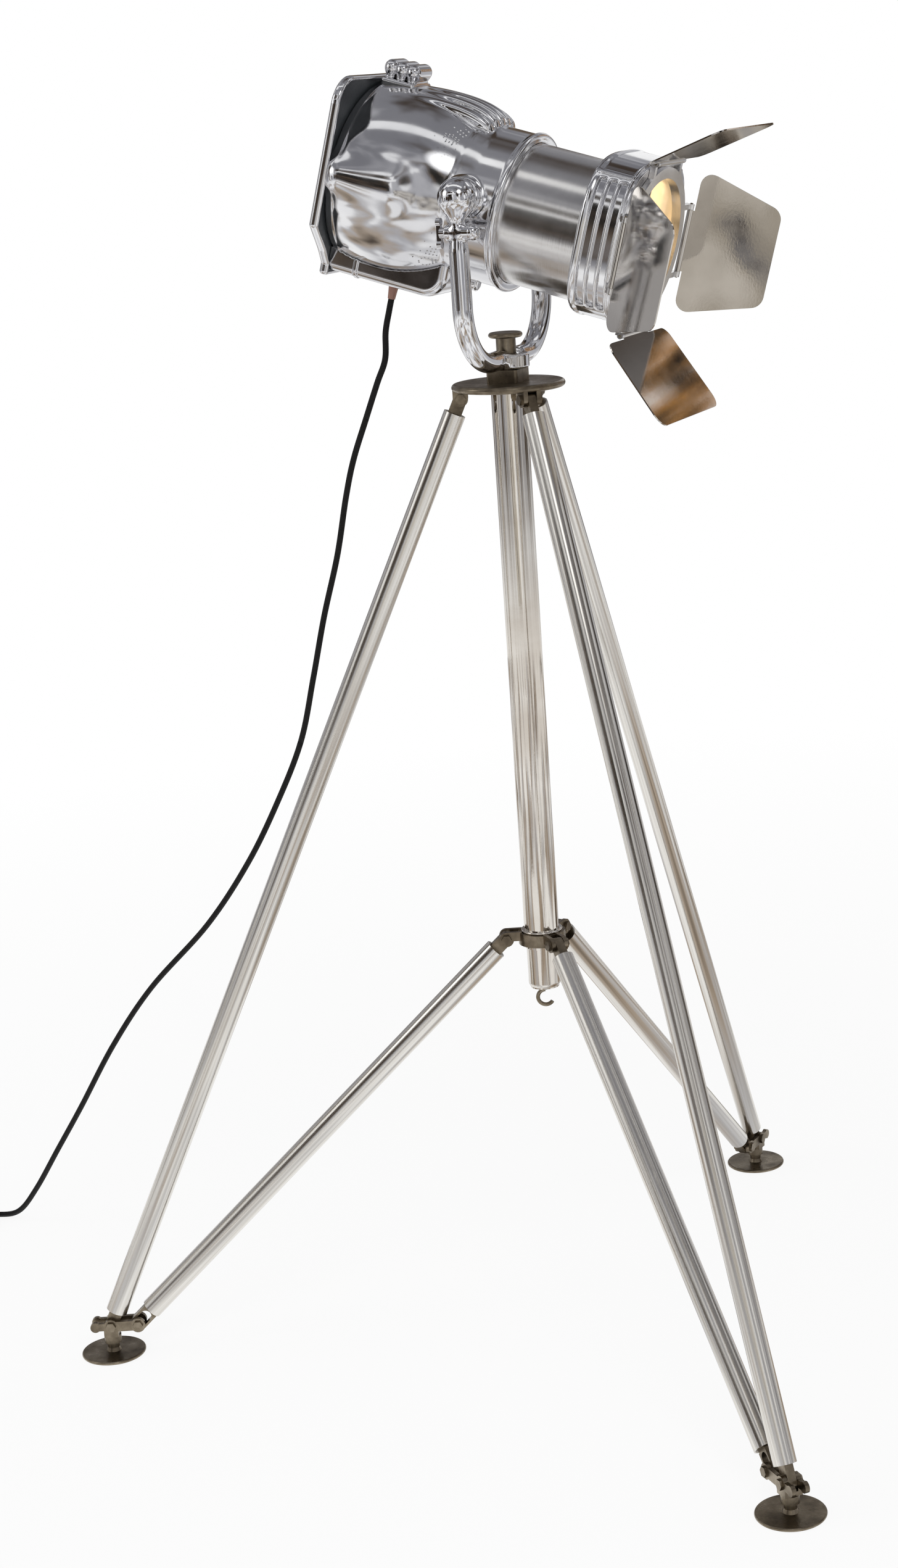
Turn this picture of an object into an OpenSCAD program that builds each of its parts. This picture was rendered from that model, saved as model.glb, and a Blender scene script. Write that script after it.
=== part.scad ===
// Tripod spotlight floor lamp, all lengths in millimetres.
// The origin is the floor point under the column, +Z is up and +X is the lamp's pointing direction.

/* [Column] */
// Outside diameter of the fixed outer column
column_d = 40; // [36:1:44]
// Wall of the outer column
column_wall = 1.45; // [1.2:0.05:2]
// Height of the lower end of the outer column
column_end_z = 466; // [440:2:470]
// Wall of the inner column that carries the head
riser_wall = 2; // [1.5:0.25:3]
// Height of the lower end of the inner column
riser_end_z = 418; // [400:2:430]
// Height of the rounded end cap of the inner column
riser_cap_h = 8; // [6:1:12]
// Radius of the weight hook's bend
hook_bend_r = 9; // [8:0.5:12]
// Wire diameter of the weight hook
hook_wire_d = 4.6; // [4:0.2:5.4]

/* [Hub] */
// Height of the hub plate's top face
hub_top_z = 1119; // [1100:1:1140]
// Diameter of the hub plate
hub_d = 127; // [122:1:136]
// Thickness of the hub plate
hub_t = 8; // [6:1:10]
// Radius of the circle on which the leg pins lie
hub_pin_r = 54; // [52:1:56]
// Drop from the hub plate's underside to the leg pins
hub_pin_drop = 8; // [7:1:12]
// Side of the square block on the hub plate
block_w = 37; // [34:1:44]
// Height of the square block
block_h = 14; // [10:1:18]

/* [Legs and braces] */
// Radius of the circle on which the legs' foot pins lie
foot_r = 534; // [500:2:560]
// Height of the foot pins
foot_pin_z = 36; // [34:1:42]
// Distance between a foot's leg pin and its brace pin
foot_pin_gap = 32; // [31:1:36]
// Outside diameter of the leg and brace tubes
leg_d = 25; // [22:1:27]
// Wall of the leg and brace tubes
leg_wall = 1.5; // [1.2:0.1:2.5]
// Distance from a pin to the cut end of a leg tube
leg_end_gap = 18; // [17:1:22]
// Distance from the slotted foot pin to the cut end of a brace tube
brace_foot_gap = 23; // [23:1:28]
// Length of an end fitting's plug inside its tube
plug_len = 26; // [18:1:40]
// Diameter of the pins
pin_d = 8; // [6:1:9]
// Thickness of the tongues on the pins
tongue_t = 10; // [8:1:12]
// Radius of the tongues' rounded ends
tongue_r = 7.6; // [7:0.2:8]
// Travel of the foot pin in the brace's slot
slot_travel = 12.6; // [12.4:0.2:14]
// Half of the sideways play in the brace's slot
slot_play = 2.8; // [2.6:0.1:3]

/* [Feet] */
// Diameter of the foot discs
disc_d = 75; // [65:1:90]
// Thickness of the foot discs
disc_t = 4; // [3:0.5:6]
// Diameter of the stem on the foot disc
stem_d = 14; // [12:1:16]
// Thickness of the cheeks on each side of the tongues
cheek_t = 5; // [4:0.5:6]
// Radius of the cheeks' rounded ends
cheek_r = 8.5; // [8:0.25:9]
// Reach of the foot's prongs past the leg pin
prong_reach = 18; // [14:1:24]

/* [Sliding collar] */
// Height of the collar's brace pins
collar_pin_z = 478; // [476:1:484]
// Radius of the circle on which the brace pins lie
collar_pin_r = 41; // [40:1:46]
// Height of the collar ring
collar_h = 14; // [12:1:16]
// Wall of the bright bush inside the collar
bush_wall = 2; // [1.5:0.25:3]
// Width of the bush's lip beyond its sleeve
lip_w = 1.8; // [1:0.2:3]
// Wall of the dark collar ring
collar_wall = 5; // [4:0.5:6]

/* [Yoke] */
// Height of the tilt axis
pivot_z = 1328; // [1320:1:1340]
// Clear space between the housing's collar and each yoke arm
arm_gap = 11; // [10:0.5:16]
// Diameter of the yoke's bar
bar_d = 22; // [18:1:24]
// Radius of the yoke's bend
bend_r = 66; // [60:1:72]
// Diameter of the yoke's base boss
base_d = 50; // [44:1:56]
// Thickness of the yoke's base boss
base_h = 17; // [14:1:20]
// Radius of the ball around each pivot
ball_r = 22; // [19:1:24]
// Diameter of the pivot studs
stud_d = 12; // [10:1:14]
// Diameter of the knob's stem on the yoke
knob_stem_d = 22; // [18:1:26]
// Diameter of the knob's cap
knob_d = 38; // [32:1:44]
// Height of the knob, cap included
knob_h = 23; // [20:1:28]

/* [Lamp head] */
// Angle by which the head points below the horizontal
tilt = 16; // [8:1:22]
// Drop from the tilt axis to the optical axis
axis_drop = 15; // [12:1:18]
// Largest radius of the lamp housing
dome_r = 107; // [102:1:110]
// Distance behind the pivot at which the housing is widest
dome_mid_u = 100; // [95:1:105]
// Thickness of the housing's collar around the lens tube
neck_wall = 8; // [6:0.5:11]
// Reach of the housing's collar in front of the pivot
neck_u = 40; // [34:1:48]
// Distance from the pivot back to the housing's rear rim
dome_rear_u = 157; // [154:1:162]
// Wall of the cast parts
shell_t = 3; // [2.5:0.25:3.5]
// Radius of the lens tube
tube_r = 78; // [74:1:80]
// Wall of the lens tube
tube_wall = 2; // [1.5:0.25:3]
// Distance from the pivot to the front end of the lens tube
tube_front_u = 140; // [138:1:150]
// Number of fins over the top front of the housing
fin_count = 5; // [3:1:6]
// Width of a fin
fin_w = 13; // [10:0.5:15]
// Distance between the middles of two fins
fin_pitch = 19; // [16:0.5:22]

/* [Rear cover] */
// Reach of the cover beyond the housing at each side
cover_side = 2; // [1:1:7]
// Reach of the cover above the housing
cover_above = 1; // [1:1:6]
// Reach of the cover below the housing
cover_below = 8; // [6:1:14]
// Depth of the cover's rim
rim_depth = 11; // [9:1:14]

/* [Front housing] */
// Half of the front housing's width
front_half_w = 95; // [93:1:98]
// Half of the front housing's height
front_half_h = 90; // [90:1:94]
// Length of the front housing
front_len = 49; // [44:1:54]
// Number of grooves in each side panel
groove_count = 3; // [2:1:4]
// Width of a groove
groove_w = 8; // [5:0.5:8.5]
// Depth of a groove
groove_depth = 4; // [2:0.25:5]

/* [Barn doors] */
// Width of the barn-door ring's flat face
ring_w = 12; // [10:0.5:13]
// Distance from the optical axis to the top and bottom hinges
hinge_r_flat = 94; // [93:1:97]
// Distance from the optical axis to the side hinges
hinge_r_side = 100; // [99:1:104]
// Thickness of the leaves
leaf_t = 1.5; // [1:0.25:2]
// Width of the top and bottom leaves at the hinge
flat_leaf_root = 172; // [160:2:176]
// Width of the top and bottom leaves at their free edge
flat_leaf_edge = 180; // [160:2:196]
// Length of the bottom leaf from its hinge
bottom_leaf_len = 111; // [90:1:120]
// Length of the top leaf from its hinge
top_leaf_len = 98; // [90:1:120]
// Width of the side leaves at the hinge
side_leaf_root = 164; // [150:2:166]
// Width of the side leaves at their free edge
side_leaf_edge = 108; // [90:2:130]
// Length of the side leaves from the hinge
side_leaf_len = 100; // [80:1:110]
// Radius of the leaves' outer corners
leaf_corner_r = 15; // [8:1:20]
// Radius of the leaves' corners beside the hinge
leaf_root_r = 13; // [8:1:20]
// Outward angle of the top leaf
top_leaf_angle = 36; // [20:1:50]
// Outward angle of the bottom leaf
bottom_leaf_angle = 40; // [20:1:50]
// Outward angle of the far leaf
far_leaf_angle = 15; // [5:1:40]
// Outward angle of the near leaf
near_leaf_angle = 39; // [5:1:45]
// Diameter of the leaves' hinge pins
hinge_pin_d = 3; // [2.5:0.25:3.5]
// Length of a hinge's knuckle
knuckle_len = 70; // [50:2:80]

/* [Power cord] */
// Diameter of the power cord
cord_d = 7; // [6:0.2:7.4]
// Radius of the coil's outer turn
coil_r = 52; // [52:1:58]
// Whole turns from where the cord enters the coil to where it faces the floor beside it
coil_turns = 6; // [4:1:6]
// Rings of the coil's tube in one turn
coil_rings = 24; // [18:1:30]

/* [Hidden] */
$fn = 96;

// Colours
bronze = [0.36, 0.32, 0.25];
polished = [0.80, 0.80, 0.82];
satin = [0.70, 0.71, 0.73];
stainless = [0.66, 0.64, 0.60];
charcoal = [0.13, 0.14, 0.15];
black = [0.03, 0.03, 0.03];

// Clearances
run_gap = 0.05;   // radial, on shafts that turn or slide
side_gap = 0.3;   // between flat faces of bodies that move apart
overlap = 1;      // how far cutters and merged solids reach past a face

// Heights and radii of the stand
leg_azimuths = [204, -42, 84];
hub_bottom_z = hub_top_z - hub_t;
hub_pin_z = hub_bottom_z - hub_pin_drop;
leg_run = foot_r - hub_pin_r;
leg_fall = hub_pin_z - foot_pin_z;
leg_len = norm([leg_run, leg_fall]);
leg_angle = atan2(leg_run, leg_fall);
brace_pin_r = foot_r - foot_pin_gap;
brace_run = brace_pin_r - collar_pin_r;
brace_fall = collar_pin_z - foot_pin_z;
brace_len = norm([brace_run, brace_fall]);
brace_angle = atan2(brace_run, brace_fall);
cheek_gap = tongue_t + 2 * side_gap;
pin_grip = cheek_gap + 2 * cheek_t;
pin_head_d = pin_d + 4;
pin_head_t = 3;
tube_bore_d = leg_d - 2 * leg_wall;
slot_w = pin_d + 2 * slot_play;
slot_tongue_r = slot_w / 2 + 2.6;
web_t = 5;
web_top_z = foot_pin_z - tongue_r - side_gap;
boss_d = stem_d + 6;
boss_h = 9;

// Column
riser_d = column_d - 2 * column_wall - 2 * run_gap;
riser_bore_d = riser_d - 2 * riser_wall;
riser_plug_len = 20;
spigot_d = 16;
block_top_z = hub_top_z + block_h;
base_bottom_z = block_top_z + side_gap;
base_top_z = base_bottom_z + base_h;
knob_bottom_z = base_top_z + side_gap;
knob_cap_h = 6;
hook_turn = 20;

// Collar
bush_r = column_d / 2 + run_gap + bush_wall;
lip_h = 3;
collar_bottom_z = collar_pin_z - collar_h / 2;
collar_r = bush_r + collar_wall;
collar_cheek_t = 4.5;
collar_grip = cheek_gap + 2 * collar_cheek_t;

// Head, in its own frame: u forward, v to the left, w up, from the middle of the tilt axis
neck_r = tube_r + neck_wall;
arm_y = neck_r + arm_gap + bar_d / 2;
dome_neck_u = -6;
neck_start_u = -14;
neck_lip = 2.5;
hinge_u = dome_mid_u + 90;
front_u = tube_front_u - 5;
front_end_u = front_u + front_len;
ring_face_u = front_end_u + side_gap;
ring_t = 6;
ring_bore_r = tube_r - tube_wall;
ring_r = ring_bore_r + ring_w;
spigot_r = tube_r + 2;
stud_in_v = neck_r - 4;
ball_v = arm_y - 5;
stud_out_v = ball_v + 13;
ball_step = 12;
washer_t = 2.5;
washer_d = 2 * ball_r + 4;
pivot_boss_v = ball_v - ball_step - washer_t - side_gap;
cover_t = 4;
panel_t = 4;
rim_t = 4;
cover_face_u = -dome_rear_u - panel_t;
rim_front_u = cover_face_u - cover_t + rim_depth;
cover_half_w = dome_r + cover_side;
cover_top_w = dome_r - axis_drop + cover_above;
cover_bottom_w = dome_r + axis_drop + cover_below;
skirt_half_w = 59;
skirt_front_u = -15;
skirt_seam_u = -123;
skirt_bottom_w = -(cover_bottom_w - 6);
gland_u = -100;
gland_len = 24;
gland_end = [gland_u, 0, skirt_bottom_w - gland_len];

// Where the cord leaves the gland, in the part's frame
function head_to_part(p) = [
  p[0] * cos(tilt) + p[2] * sin(tilt),
  p[1],
  pivot_z - p[0] * sin(tilt) + p[2] * cos(tilt)
];
cord_drop = [-sin(tilt), 0, -cos(tilt)];
face_gap = 0.02;   // between the gland's end and the cord's
cord_start = head_to_part(gland_end) + face_gap * cord_drop;

// ---------------------------------------------------------------- helpers

module tube(d, wall, h) {
  difference() {
    cylinder(d = d, h = h);
    translate([0, 0, -overlap]) cylinder(d = d - 2 * wall, h = h + 2 * overlap);
  }
}

// A shaft along Y, centred
module shaft_y(d, l) {
  rotate([90, 0, 0]) cylinder(d = d, h = l, center = true);
}

// Two plates of thickness t, gap apart along Y, from an outline drawn in X and Z
module cheeks(gap, t) {
  for (side = [-1, 1])
    translate([0, side * (gap + t) / 2, 0])
      rotate([90, 0, 0]) linear_extrude(t, center = true) children();
}

// One plate of thickness t in the XZ plane
module plate_y(t) {
  rotate([90, 0, 0]) linear_extrude(t, center = true) children();
}

// A pin along Y with a six-sided head at each end
module headed_pin(grip) {
  shaft_y(pin_d, grip);
  for (side = [-1, 1])
    translate([0, side * (grip + pin_head_t) / 2, 0])
      rotate([90, 0, 0]) cylinder(d = pin_head_d, h = pin_head_t, center = true, $fn = 6);
}

// A flat disc with a round edge
module round_disc(d, t) {
  rotate_extrude() {
    square([d / 2 - t / 2, t]);
    intersection() {
      translate([d / 2 - t / 2, t / 2]) circle(d = t);
      square([d / 2, t]);
    }
  }
}

// Places along a leg, from its hub pin towards its foot
module down_leg() {
  translate([hub_pin_r, 0, hub_pin_z]) rotate([0, 180 - leg_angle, 0]) children();
}

// Places along a brace, from its collar pin towards its foot
module down_brace() {
  translate([collar_pin_r, 0, collar_pin_z]) rotate([0, 180 - brace_angle, 0]) children();
}

// The head's own frame
module at_head() {
  translate([0, 0, pivot_z]) rotate([0, tilt, 0]) children();
}

// The optical axis, with Z forward along it
module on_axis() {
  at_head() translate([0, 0, -axis_drop]) rotate([0, 90, 0]) children();
}

// A solid of revolution about the optical axis, drawn as radius and distance u
module turned() {
  on_axis() rotate_extrude() children();
}

// ---------------------------------------------------------------- hub and column

module hub_ear_outline() {
  difference() {
    union() {
      translate([hub_pin_r, hub_pin_z]) circle(r = cheek_r);
      translate([hub_pin_r - cheek_r, hub_pin_z]) square([2 * cheek_r, hub_pin_drop + hub_t / 2]);
    }
    translate([hub_pin_r, hub_pin_z]) circle(d = pin_d);
  }
}

module hub_plate() {
  color(bronze)
    difference() {
      union() {
        translate([0, 0, hub_bottom_z]) round_disc(hub_d, hub_t);
        for (a = leg_azimuths)
          rotate([0, 0, a]) cheeks(cheek_gap, cheek_t) hub_ear_outline();
      }
      translate([0, 0, hub_bottom_z - overlap])
        cylinder(d = riser_d + 2 * run_gap, h = hub_t + 2 * overlap);
    }
}

module hub_pins() {
  color(bronze)
    for (a = leg_azimuths)
      rotate([0, 0, a]) translate([hub_pin_r, 0, hub_pin_z]) headed_pin(pin_grip);
}

module outer_column() {
  color(polished)
    translate([0, 0, column_end_z])
      tube(column_d, column_wall, hub_bottom_z - column_end_z);
}

module riser_tube() {
  color(polished)
    translate([0, 0, riser_end_z + riser_cap_h])
      tube(riser_d, riser_wall, hub_top_z - riser_end_z - riser_cap_h);
}

module riser_cap() {
  edge_r = riser_cap_h - 2;
  color(polished)
    translate([0, 0, riser_end_z]) {
      rotate_extrude() {
        square([riser_d / 2 - edge_r, riser_cap_h]);
        translate([0, edge_r]) square([riser_d / 2, riser_cap_h - edge_r]);
        intersection() {
          translate([riser_d / 2 - edge_r, edge_r]) circle(r = edge_r);
          square([riser_d / 2, riser_cap_h]);
        }
      }
      cylinder(d = riser_bore_d, h = riser_cap_h + riser_plug_len);
    }
}

module weight_hook() {
  stem = 5;
  hook_z = riser_end_z - stem - hook_bend_r;
  color(bronze)
    rotate([0, 0, hook_turn]) {
      translate([0, 0, riser_end_z - 2]) cylinder(d = 14, h = 2);
      translate([0, 0, hook_z + hook_bend_r]) cylinder(d = hook_wire_d, h = stem - 1);
      translate([0, 0, hook_z]) rotate([90, 0, 0]) rotate([0, 0, 90])
        rotate_extrude(angle = 235) translate([hook_bend_r, 0]) circle(d = hook_wire_d);
    }
}

module column_head() {
  corner = 3;
  color(bronze) {
    translate([0, 0, hub_top_z]) {
      translate([-block_w / 2 + corner, -block_w / 2, 0]) cube([block_w - 2 * corner, block_w, block_h]);
      translate([-block_w / 2, -block_w / 2 + corner, 0]) cube([block_w, block_w - 2 * corner, block_h]);
      for (x = [-1, 1], y = [-1, 1])
        translate([x * (block_w / 2 - corner), y * (block_w / 2 - corner), 0]) cylinder(r = corner, h = block_h);
    }
    translate([0, 0, hub_top_z - riser_plug_len]) cylinder(d = riser_bore_d, h = riser_plug_len + 1);
    translate([0, 0, block_top_z - 1]) cylinder(d = spigot_d, h = knob_bottom_z + knob_h / 2 - block_top_z + 1);
  }
}

module pan_knob() {
  color(bronze)
    translate([0, 0, knob_bottom_z])
      difference() {
        union() {
          cylinder(d = knob_stem_d, h = knob_h - knob_cap_h / 2);
          translate([0, 0, knob_h - knob_cap_h]) round_disc(knob_d, knob_cap_h);
        }
        translate([0, 0, -overlap]) cylinder(d = spigot_d, h = knob_h / 2 + overlap);
      }
}

// ---------------------------------------------------------------- legs, braces and feet

// A tongue on a pin, its neck, and its plug inside the tube; Z runs from the pin into the tube
module tube_end(gap) {
  color(bronze)
    difference() {
      union() {
        shaft_y(2 * tongue_r, tongue_t);
        translate([-tongue_r, -tongue_t / 2, 0]) cube([2 * tongue_r, tongue_t, gap + 1]);
        translate([0, 0, gap]) cylinder(d = tube_bore_d, h = plug_len);
      }
      shaft_y(pin_d + 2 * run_gap, tongue_t + 2 * overlap);
    }
}

// The same with a slot, in which the foot pin travels as the tripod folds
module slotted_end(gap) {
  color(bronze)
    difference() {
      union() {
        shaft_y(2 * slot_tongue_r, tongue_t);
        translate([-slot_tongue_r, -tongue_t / 2, 0]) cube([2 * slot_tongue_r, tongue_t, gap - 1.5]);
        translate([-tongue_r, -tongue_t / 2, gap - 2]) cube([2 * tongue_r, tongue_t, 3]);
        translate([0, 0, gap]) cylinder(d = tube_bore_d, h = plug_len);
      }
      shaft_y(slot_w, tongue_t + 2 * overlap);
      translate([0, 0, slot_travel]) shaft_y(slot_w, tongue_t + 2 * overlap);
      translate([-slot_w / 2, -tongue_t / 2 - overlap, 0]) cube([slot_w, tongue_t + 2 * overlap, slot_travel]);
    }
}

module leg(n) {
  color(satin)
    rotate([0, 0, leg_azimuths[n]]) down_leg()
      translate([0, 0, leg_end_gap]) tube(leg_d, leg_wall, leg_len - 2 * leg_end_gap);
}

module leg_ends(n) {
  rotate([0, 0, leg_azimuths[n]]) down_leg() {
    tube_end(leg_end_gap);
    translate([0, 0, leg_len]) rotate([0, 180, 0]) tube_end(leg_end_gap);
  }
}

module brace(n) {
  color(satin)
    rotate([0, 0, leg_azimuths[n]]) down_brace()
      translate([0, 0, leg_end_gap]) tube(leg_d, leg_wall, brace_len - leg_end_gap - brace_foot_gap);
}

module brace_ends(n) {
  rotate([0, 0, leg_azimuths[n]]) down_brace() {
    tube_end(leg_end_gap);
    translate([0, 0, brace_len]) rotate([0, 180, 0]) slotted_end(brace_foot_gap);
  }
}

module foot_cheek_outline() {
  prong_h = 9;
  prong_r = 6;
  difference() {
    union() {
      translate([foot_r, foot_pin_z]) circle(r = cheek_r);
      translate([brace_pin_r, foot_pin_z]) circle(r = cheek_r);
      translate([brace_pin_r, foot_pin_z - 6]) square([foot_pin_gap, 12]);
      translate([foot_r, foot_pin_z - prong_h / 2]) square([prong_reach, prong_h]);
      translate([foot_r + prong_reach, foot_pin_z]) circle(r = prong_r);
      translate([foot_r - cheek_r, web_top_z - web_t]) square([2 * cheek_r, foot_pin_z - web_top_z + web_t]);
    }
    translate([foot_r, foot_pin_z]) circle(d = pin_d);
    translate([brace_pin_r, foot_pin_z]) circle(d = pin_d);
  }
}

module foot_bracket(n) {
  color(bronze)
    rotate([0, 0, leg_azimuths[n]]) {
      cheeks(cheek_gap, cheek_t) foot_cheek_outline();
      translate([foot_r - cheek_r, -pin_grip / 2, web_top_z - web_t]) cube([2 * cheek_r, pin_grip, web_t]);
      translate([foot_r, 0, web_top_z - web_t - boss_h]) tube(boss_d, (boss_d - stem_d) / 2, boss_h);
    }
}

module foot_disc(n) {
  color(bronze)
    rotate([0, 0, leg_azimuths[n]]) translate([foot_r, 0, 0]) {
      rotate_extrude() {
        square([disc_d / 2 - disc_t / 2, disc_t]);
        translate([disc_d / 2 - disc_t / 2, 0])
          intersection() {
            translate([0, disc_t / 2]) circle(d = disc_t);
            square([disc_t, disc_t]);
          }
      }
      cylinder(d = stem_d, h = web_top_z - web_t);
      cylinder(d1 = stem_d + 8, d2 = stem_d, h = disc_t + 4);
    }
}

module foot_pins(n) {
  color(bronze)
    rotate([0, 0, leg_azimuths[n]])
      for (r = [foot_r, brace_pin_r])
        translate([r, 0, foot_pin_z]) headed_pin(pin_grip);
}

// ---------------------------------------------------------------- sliding collar

module collar_arm_outline() {
  difference() {
    union() {
      translate([collar_pin_r, collar_pin_z]) circle(r = cheek_r);
      translate([bush_r + 1, collar_pin_z - 2]) square([collar_pin_r - bush_r - 1, cheek_r + 2]);
    }
    translate([collar_pin_r, collar_pin_z]) circle(d = pin_d);
  }
}

module sliding_collar() {
  color(bronze)
    difference() {
      union() {
        translate([0, 0, collar_bottom_z]) tube(2 * collar_r, collar_wall, collar_h);
        for (a = leg_azimuths)
          rotate([0, 0, a]) cheeks(cheek_gap, collar_cheek_t) collar_arm_outline();
      }
      translate([0, 0, collar_bottom_z - overlap]) cylinder(r = bush_r, h = collar_h + 2 * overlap);
    }
}

module collar_bush() {
  color(polished)
    difference() {
      union() {
        translate([0, 0, collar_bottom_z]) cylinder(r = bush_r, h = collar_h + 1);
        translate([0, 0, collar_pin_z + collar_h / 2]) round_disc(2 * (bush_r + lip_w), lip_h);
      }
      translate([0, 0, collar_bottom_z - overlap])
        cylinder(d = column_d + 2 * run_gap, h = collar_h + lip_h + 2 * overlap);
    }
}

module collar_pins() {
  color(bronze)
    for (a = leg_azimuths)
      rotate([0, 0, a]) translate([collar_pin_r, 0, collar_pin_z]) headed_pin(collar_grip);
}

// ---------------------------------------------------------------- yoke

clamp_z = pivot_z - 37;
clamp_back = 14;
clamp_front = 17;
clamp_screw_d = 6;

// One arm, on the side where Y is positive
module yoke_arm() {
  bend_y = arm_y - bend_r;
  bend_z = base_bottom_z + bar_d / 2 + bend_r;
  translate([0, arm_y, bend_z]) cylinder(d = bar_d, h = clamp_z - bend_z - 12);
  translate([0, arm_y, clamp_z - 12]) cylinder(d1 = bar_d, d2 = bar_d - 5, h = 12);
  translate([0, arm_y, clamp_z]) cylinder(d = bar_d - 5, h = pivot_z - clamp_z - stud_d / 2 - 3);
  translate([0, bend_y, bend_z]) rotate([0, 90, 0])
    rotate_extrude(angle = 90) translate([bend_r, 0]) circle(d = bar_d);
  rotate([-90, 0, 0]) translate([0, -base_bottom_z - bar_d / 2, 0]) cylinder(d = bar_d, h = bend_y);
  // The ball around the pivot, with a step towards the housing
  translate([0, ball_v, pivot_z]) rotate([-90, 0, 0])
    rotate_extrude() {
      intersection() {
        circle(r = ball_r);
        translate([0, 1 - ball_step]) square([ball_r, 2 * ball_r]);
      }
      translate([0, -ball_step]) square([ball_r - 4, ball_step]);
    }
}

module yoke() {
  color(polished)
    difference() {
      union() {
        translate([0, 0, base_bottom_z]) cylinder(d = base_d, h = base_h);
        yoke_arm();
        mirror([0, 1, 0]) yoke_arm();
        // Lugs of the tilt clamp on the near arm
        translate([-clamp_back, -arm_y, clamp_z]) rotate([0, 90, 0])
          cylinder(d = 18, h = clamp_back + clamp_front);
        translate([clamp_front, -arm_y, clamp_z]) sphere(r = 9);
      }
      translate([0, 0, base_bottom_z - overlap]) cylinder(d = spigot_d + 2 * run_gap, h = base_h + 2 * overlap);
      translate([0, 0, base_top_z]) cylinder(d = knob_d + 1, h = bar_d);
      for (side = [-1, 1])
        translate([0, side * (stud_out_v + stud_in_v) / 2, pivot_z])
          shaft_y(stud_d + 2 * run_gap, stud_out_v - stud_in_v + 2 * side_gap);
      translate([-clamp_back - overlap, -arm_y, clamp_z]) rotate([0, 90, 0])
        cylinder(d = clamp_screw_d, h = clamp_back + 10);
    }
}

module tilt_clamp() {
  wing_t = 4;
  color(polished)
    translate([0, -arm_y, clamp_z]) {
      translate([-clamp_back, 0, 0]) rotate([0, 90, 0]) cylinder(d = clamp_screw_d, h = clamp_back + 9);
      translate([-clamp_back - 6, 0, 0]) rotate([0, 90, 0]) cylinder(d = 12, h = 6);
      translate([-clamp_back - 6 - wing_t, 0, 0]) rotate([0, 90, 0])
        linear_extrude(wing_t + 1) {
          square([24, 5], center = true);
          for (side = [-1, 1])
            translate([side * 12, 0]) circle(d = 9);
        }
    }
}

module pivot_washers() {
  color(polished)
    for (side = [-1, 1])
      translate([0, side * (ball_v - ball_step - washer_t / 2), pivot_z])
        difference() {
          shaft_y(washer_d, washer_t);
          shaft_y(stud_d + 2 * run_gap, washer_t + 2 * overlap);
        }
}

// ---------------------------------------------------------------- lamp head

// Outer radius of the housing at distance u along the optical axis
function dome_radius(u) =
  u < -dome_mid_u
    ? dome_r - 8 * pow((u + dome_mid_u) / (dome_rear_u - dome_mid_u), 2)
    : dome_r - (dome_r - neck_r + 4) * pow((u + dome_mid_u) / (dome_mid_u + dome_neck_u), 2);

dome_us = [for (i = [0 : 1 : 14]) -dome_rear_u + i * (dome_rear_u + dome_neck_u) / 14];

// Half section of a solid under the housing's surface, drawn as radius and u
module dome_section(inset) {
  polygon(concat(
    [[0, -dome_rear_u]],
    [for (u = dome_us) [dome_radius(u) - inset, u]],
    [[0, dome_neck_u]]
  ));
}

module neck_section() {
  translate([tube_r, neck_start_u]) square([neck_r - tube_r, neck_u - neck_start_u]);
  translate([tube_r, neck_u - 6]) square([neck_r + neck_lip - tube_r - 2, 6]);
  translate([neck_r + neck_lip - 2.5, neck_u - 3]) circle(r = 3);
}

fin_rear_u = -97;
fin_peak_u = -77;
fin_front_u = -5;
fin_peak_r = dome_r + 1.5;

// Radius of the fins' crests at distance u
function fin_crest(u) =
  u < fin_peak_u
    ? fin_peak_r - 1.5 * pow((fin_peak_u - u) / (fin_peak_u - fin_rear_u), 2)
    : neck_r + 1 + (fin_peak_r - neck_r - 1) * sqrt(1 - pow((u - fin_peak_u) / (fin_front_u - fin_peak_u), 2.4));

fin_us = concat(
  [for (i = [0 : 3]) fin_rear_u + i * (fin_peak_u - fin_rear_u) / 4],
  [for (i = [0 : 12]) fin_peak_u + (fin_front_u - fin_peak_u) * sin(90 * i / 12)]
);

// A raised band over the top of the housing, turn degrees from the middle and span degrees wide
module top_band(turn, span, drop) {
  on_axis() rotate([0, 0, 180 + turn - span / 2])
    rotate_extrude(angle = span)
      polygon(concat(
        [for (u = fin_us) [fin_crest(u) - drop, u]],
        [[tube_r + 1, fin_front_u], [tube_r + 1, fin_rear_u]]
      ));
}

// Lengthwise fins over the top front of the housing, with grooves between them
module top_fins() {
  groove_drop = 4.5;
  turn_step = fin_pitch / fin_peak_r * 180 / PI;
  fin_span = fin_w / fin_peak_r * 180 / PI;
  for (i = [0 : fin_count - 1])
    top_band((i - (fin_count - 1) / 2) * turn_step, fin_span, 0);
  top_band(0, (fin_count - 1) * turn_step + fin_span / 2, groove_drop);
}

capsule_r = 20;
capsule_v = dome_r - 13;
capsule_w = -11;
capsule_rear_u = -140;
capsule_front_u = -75;

// A long blister on the side of the housing, which ends short of the rear cover's rim
module side_capsule(side) {
  at_head()
    intersection() {
      translate([0, side * capsule_v, capsule_w]) {
        for (u = [capsule_front_u, capsule_rear_u])
          translate([u, 0, 0]) sphere(r = capsule_r);
        translate([capsule_rear_u, 0, 0]) rotate([0, 90, 0])
          cylinder(r = capsule_r, h = capsule_front_u - capsule_rear_u);
      }
      translate([rim_front_u + side_gap, -2 * dome_r, -dome_r])
        cube([dome_rear_u, 4 * dome_r, 2 * dome_r]);
    }
}

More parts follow.
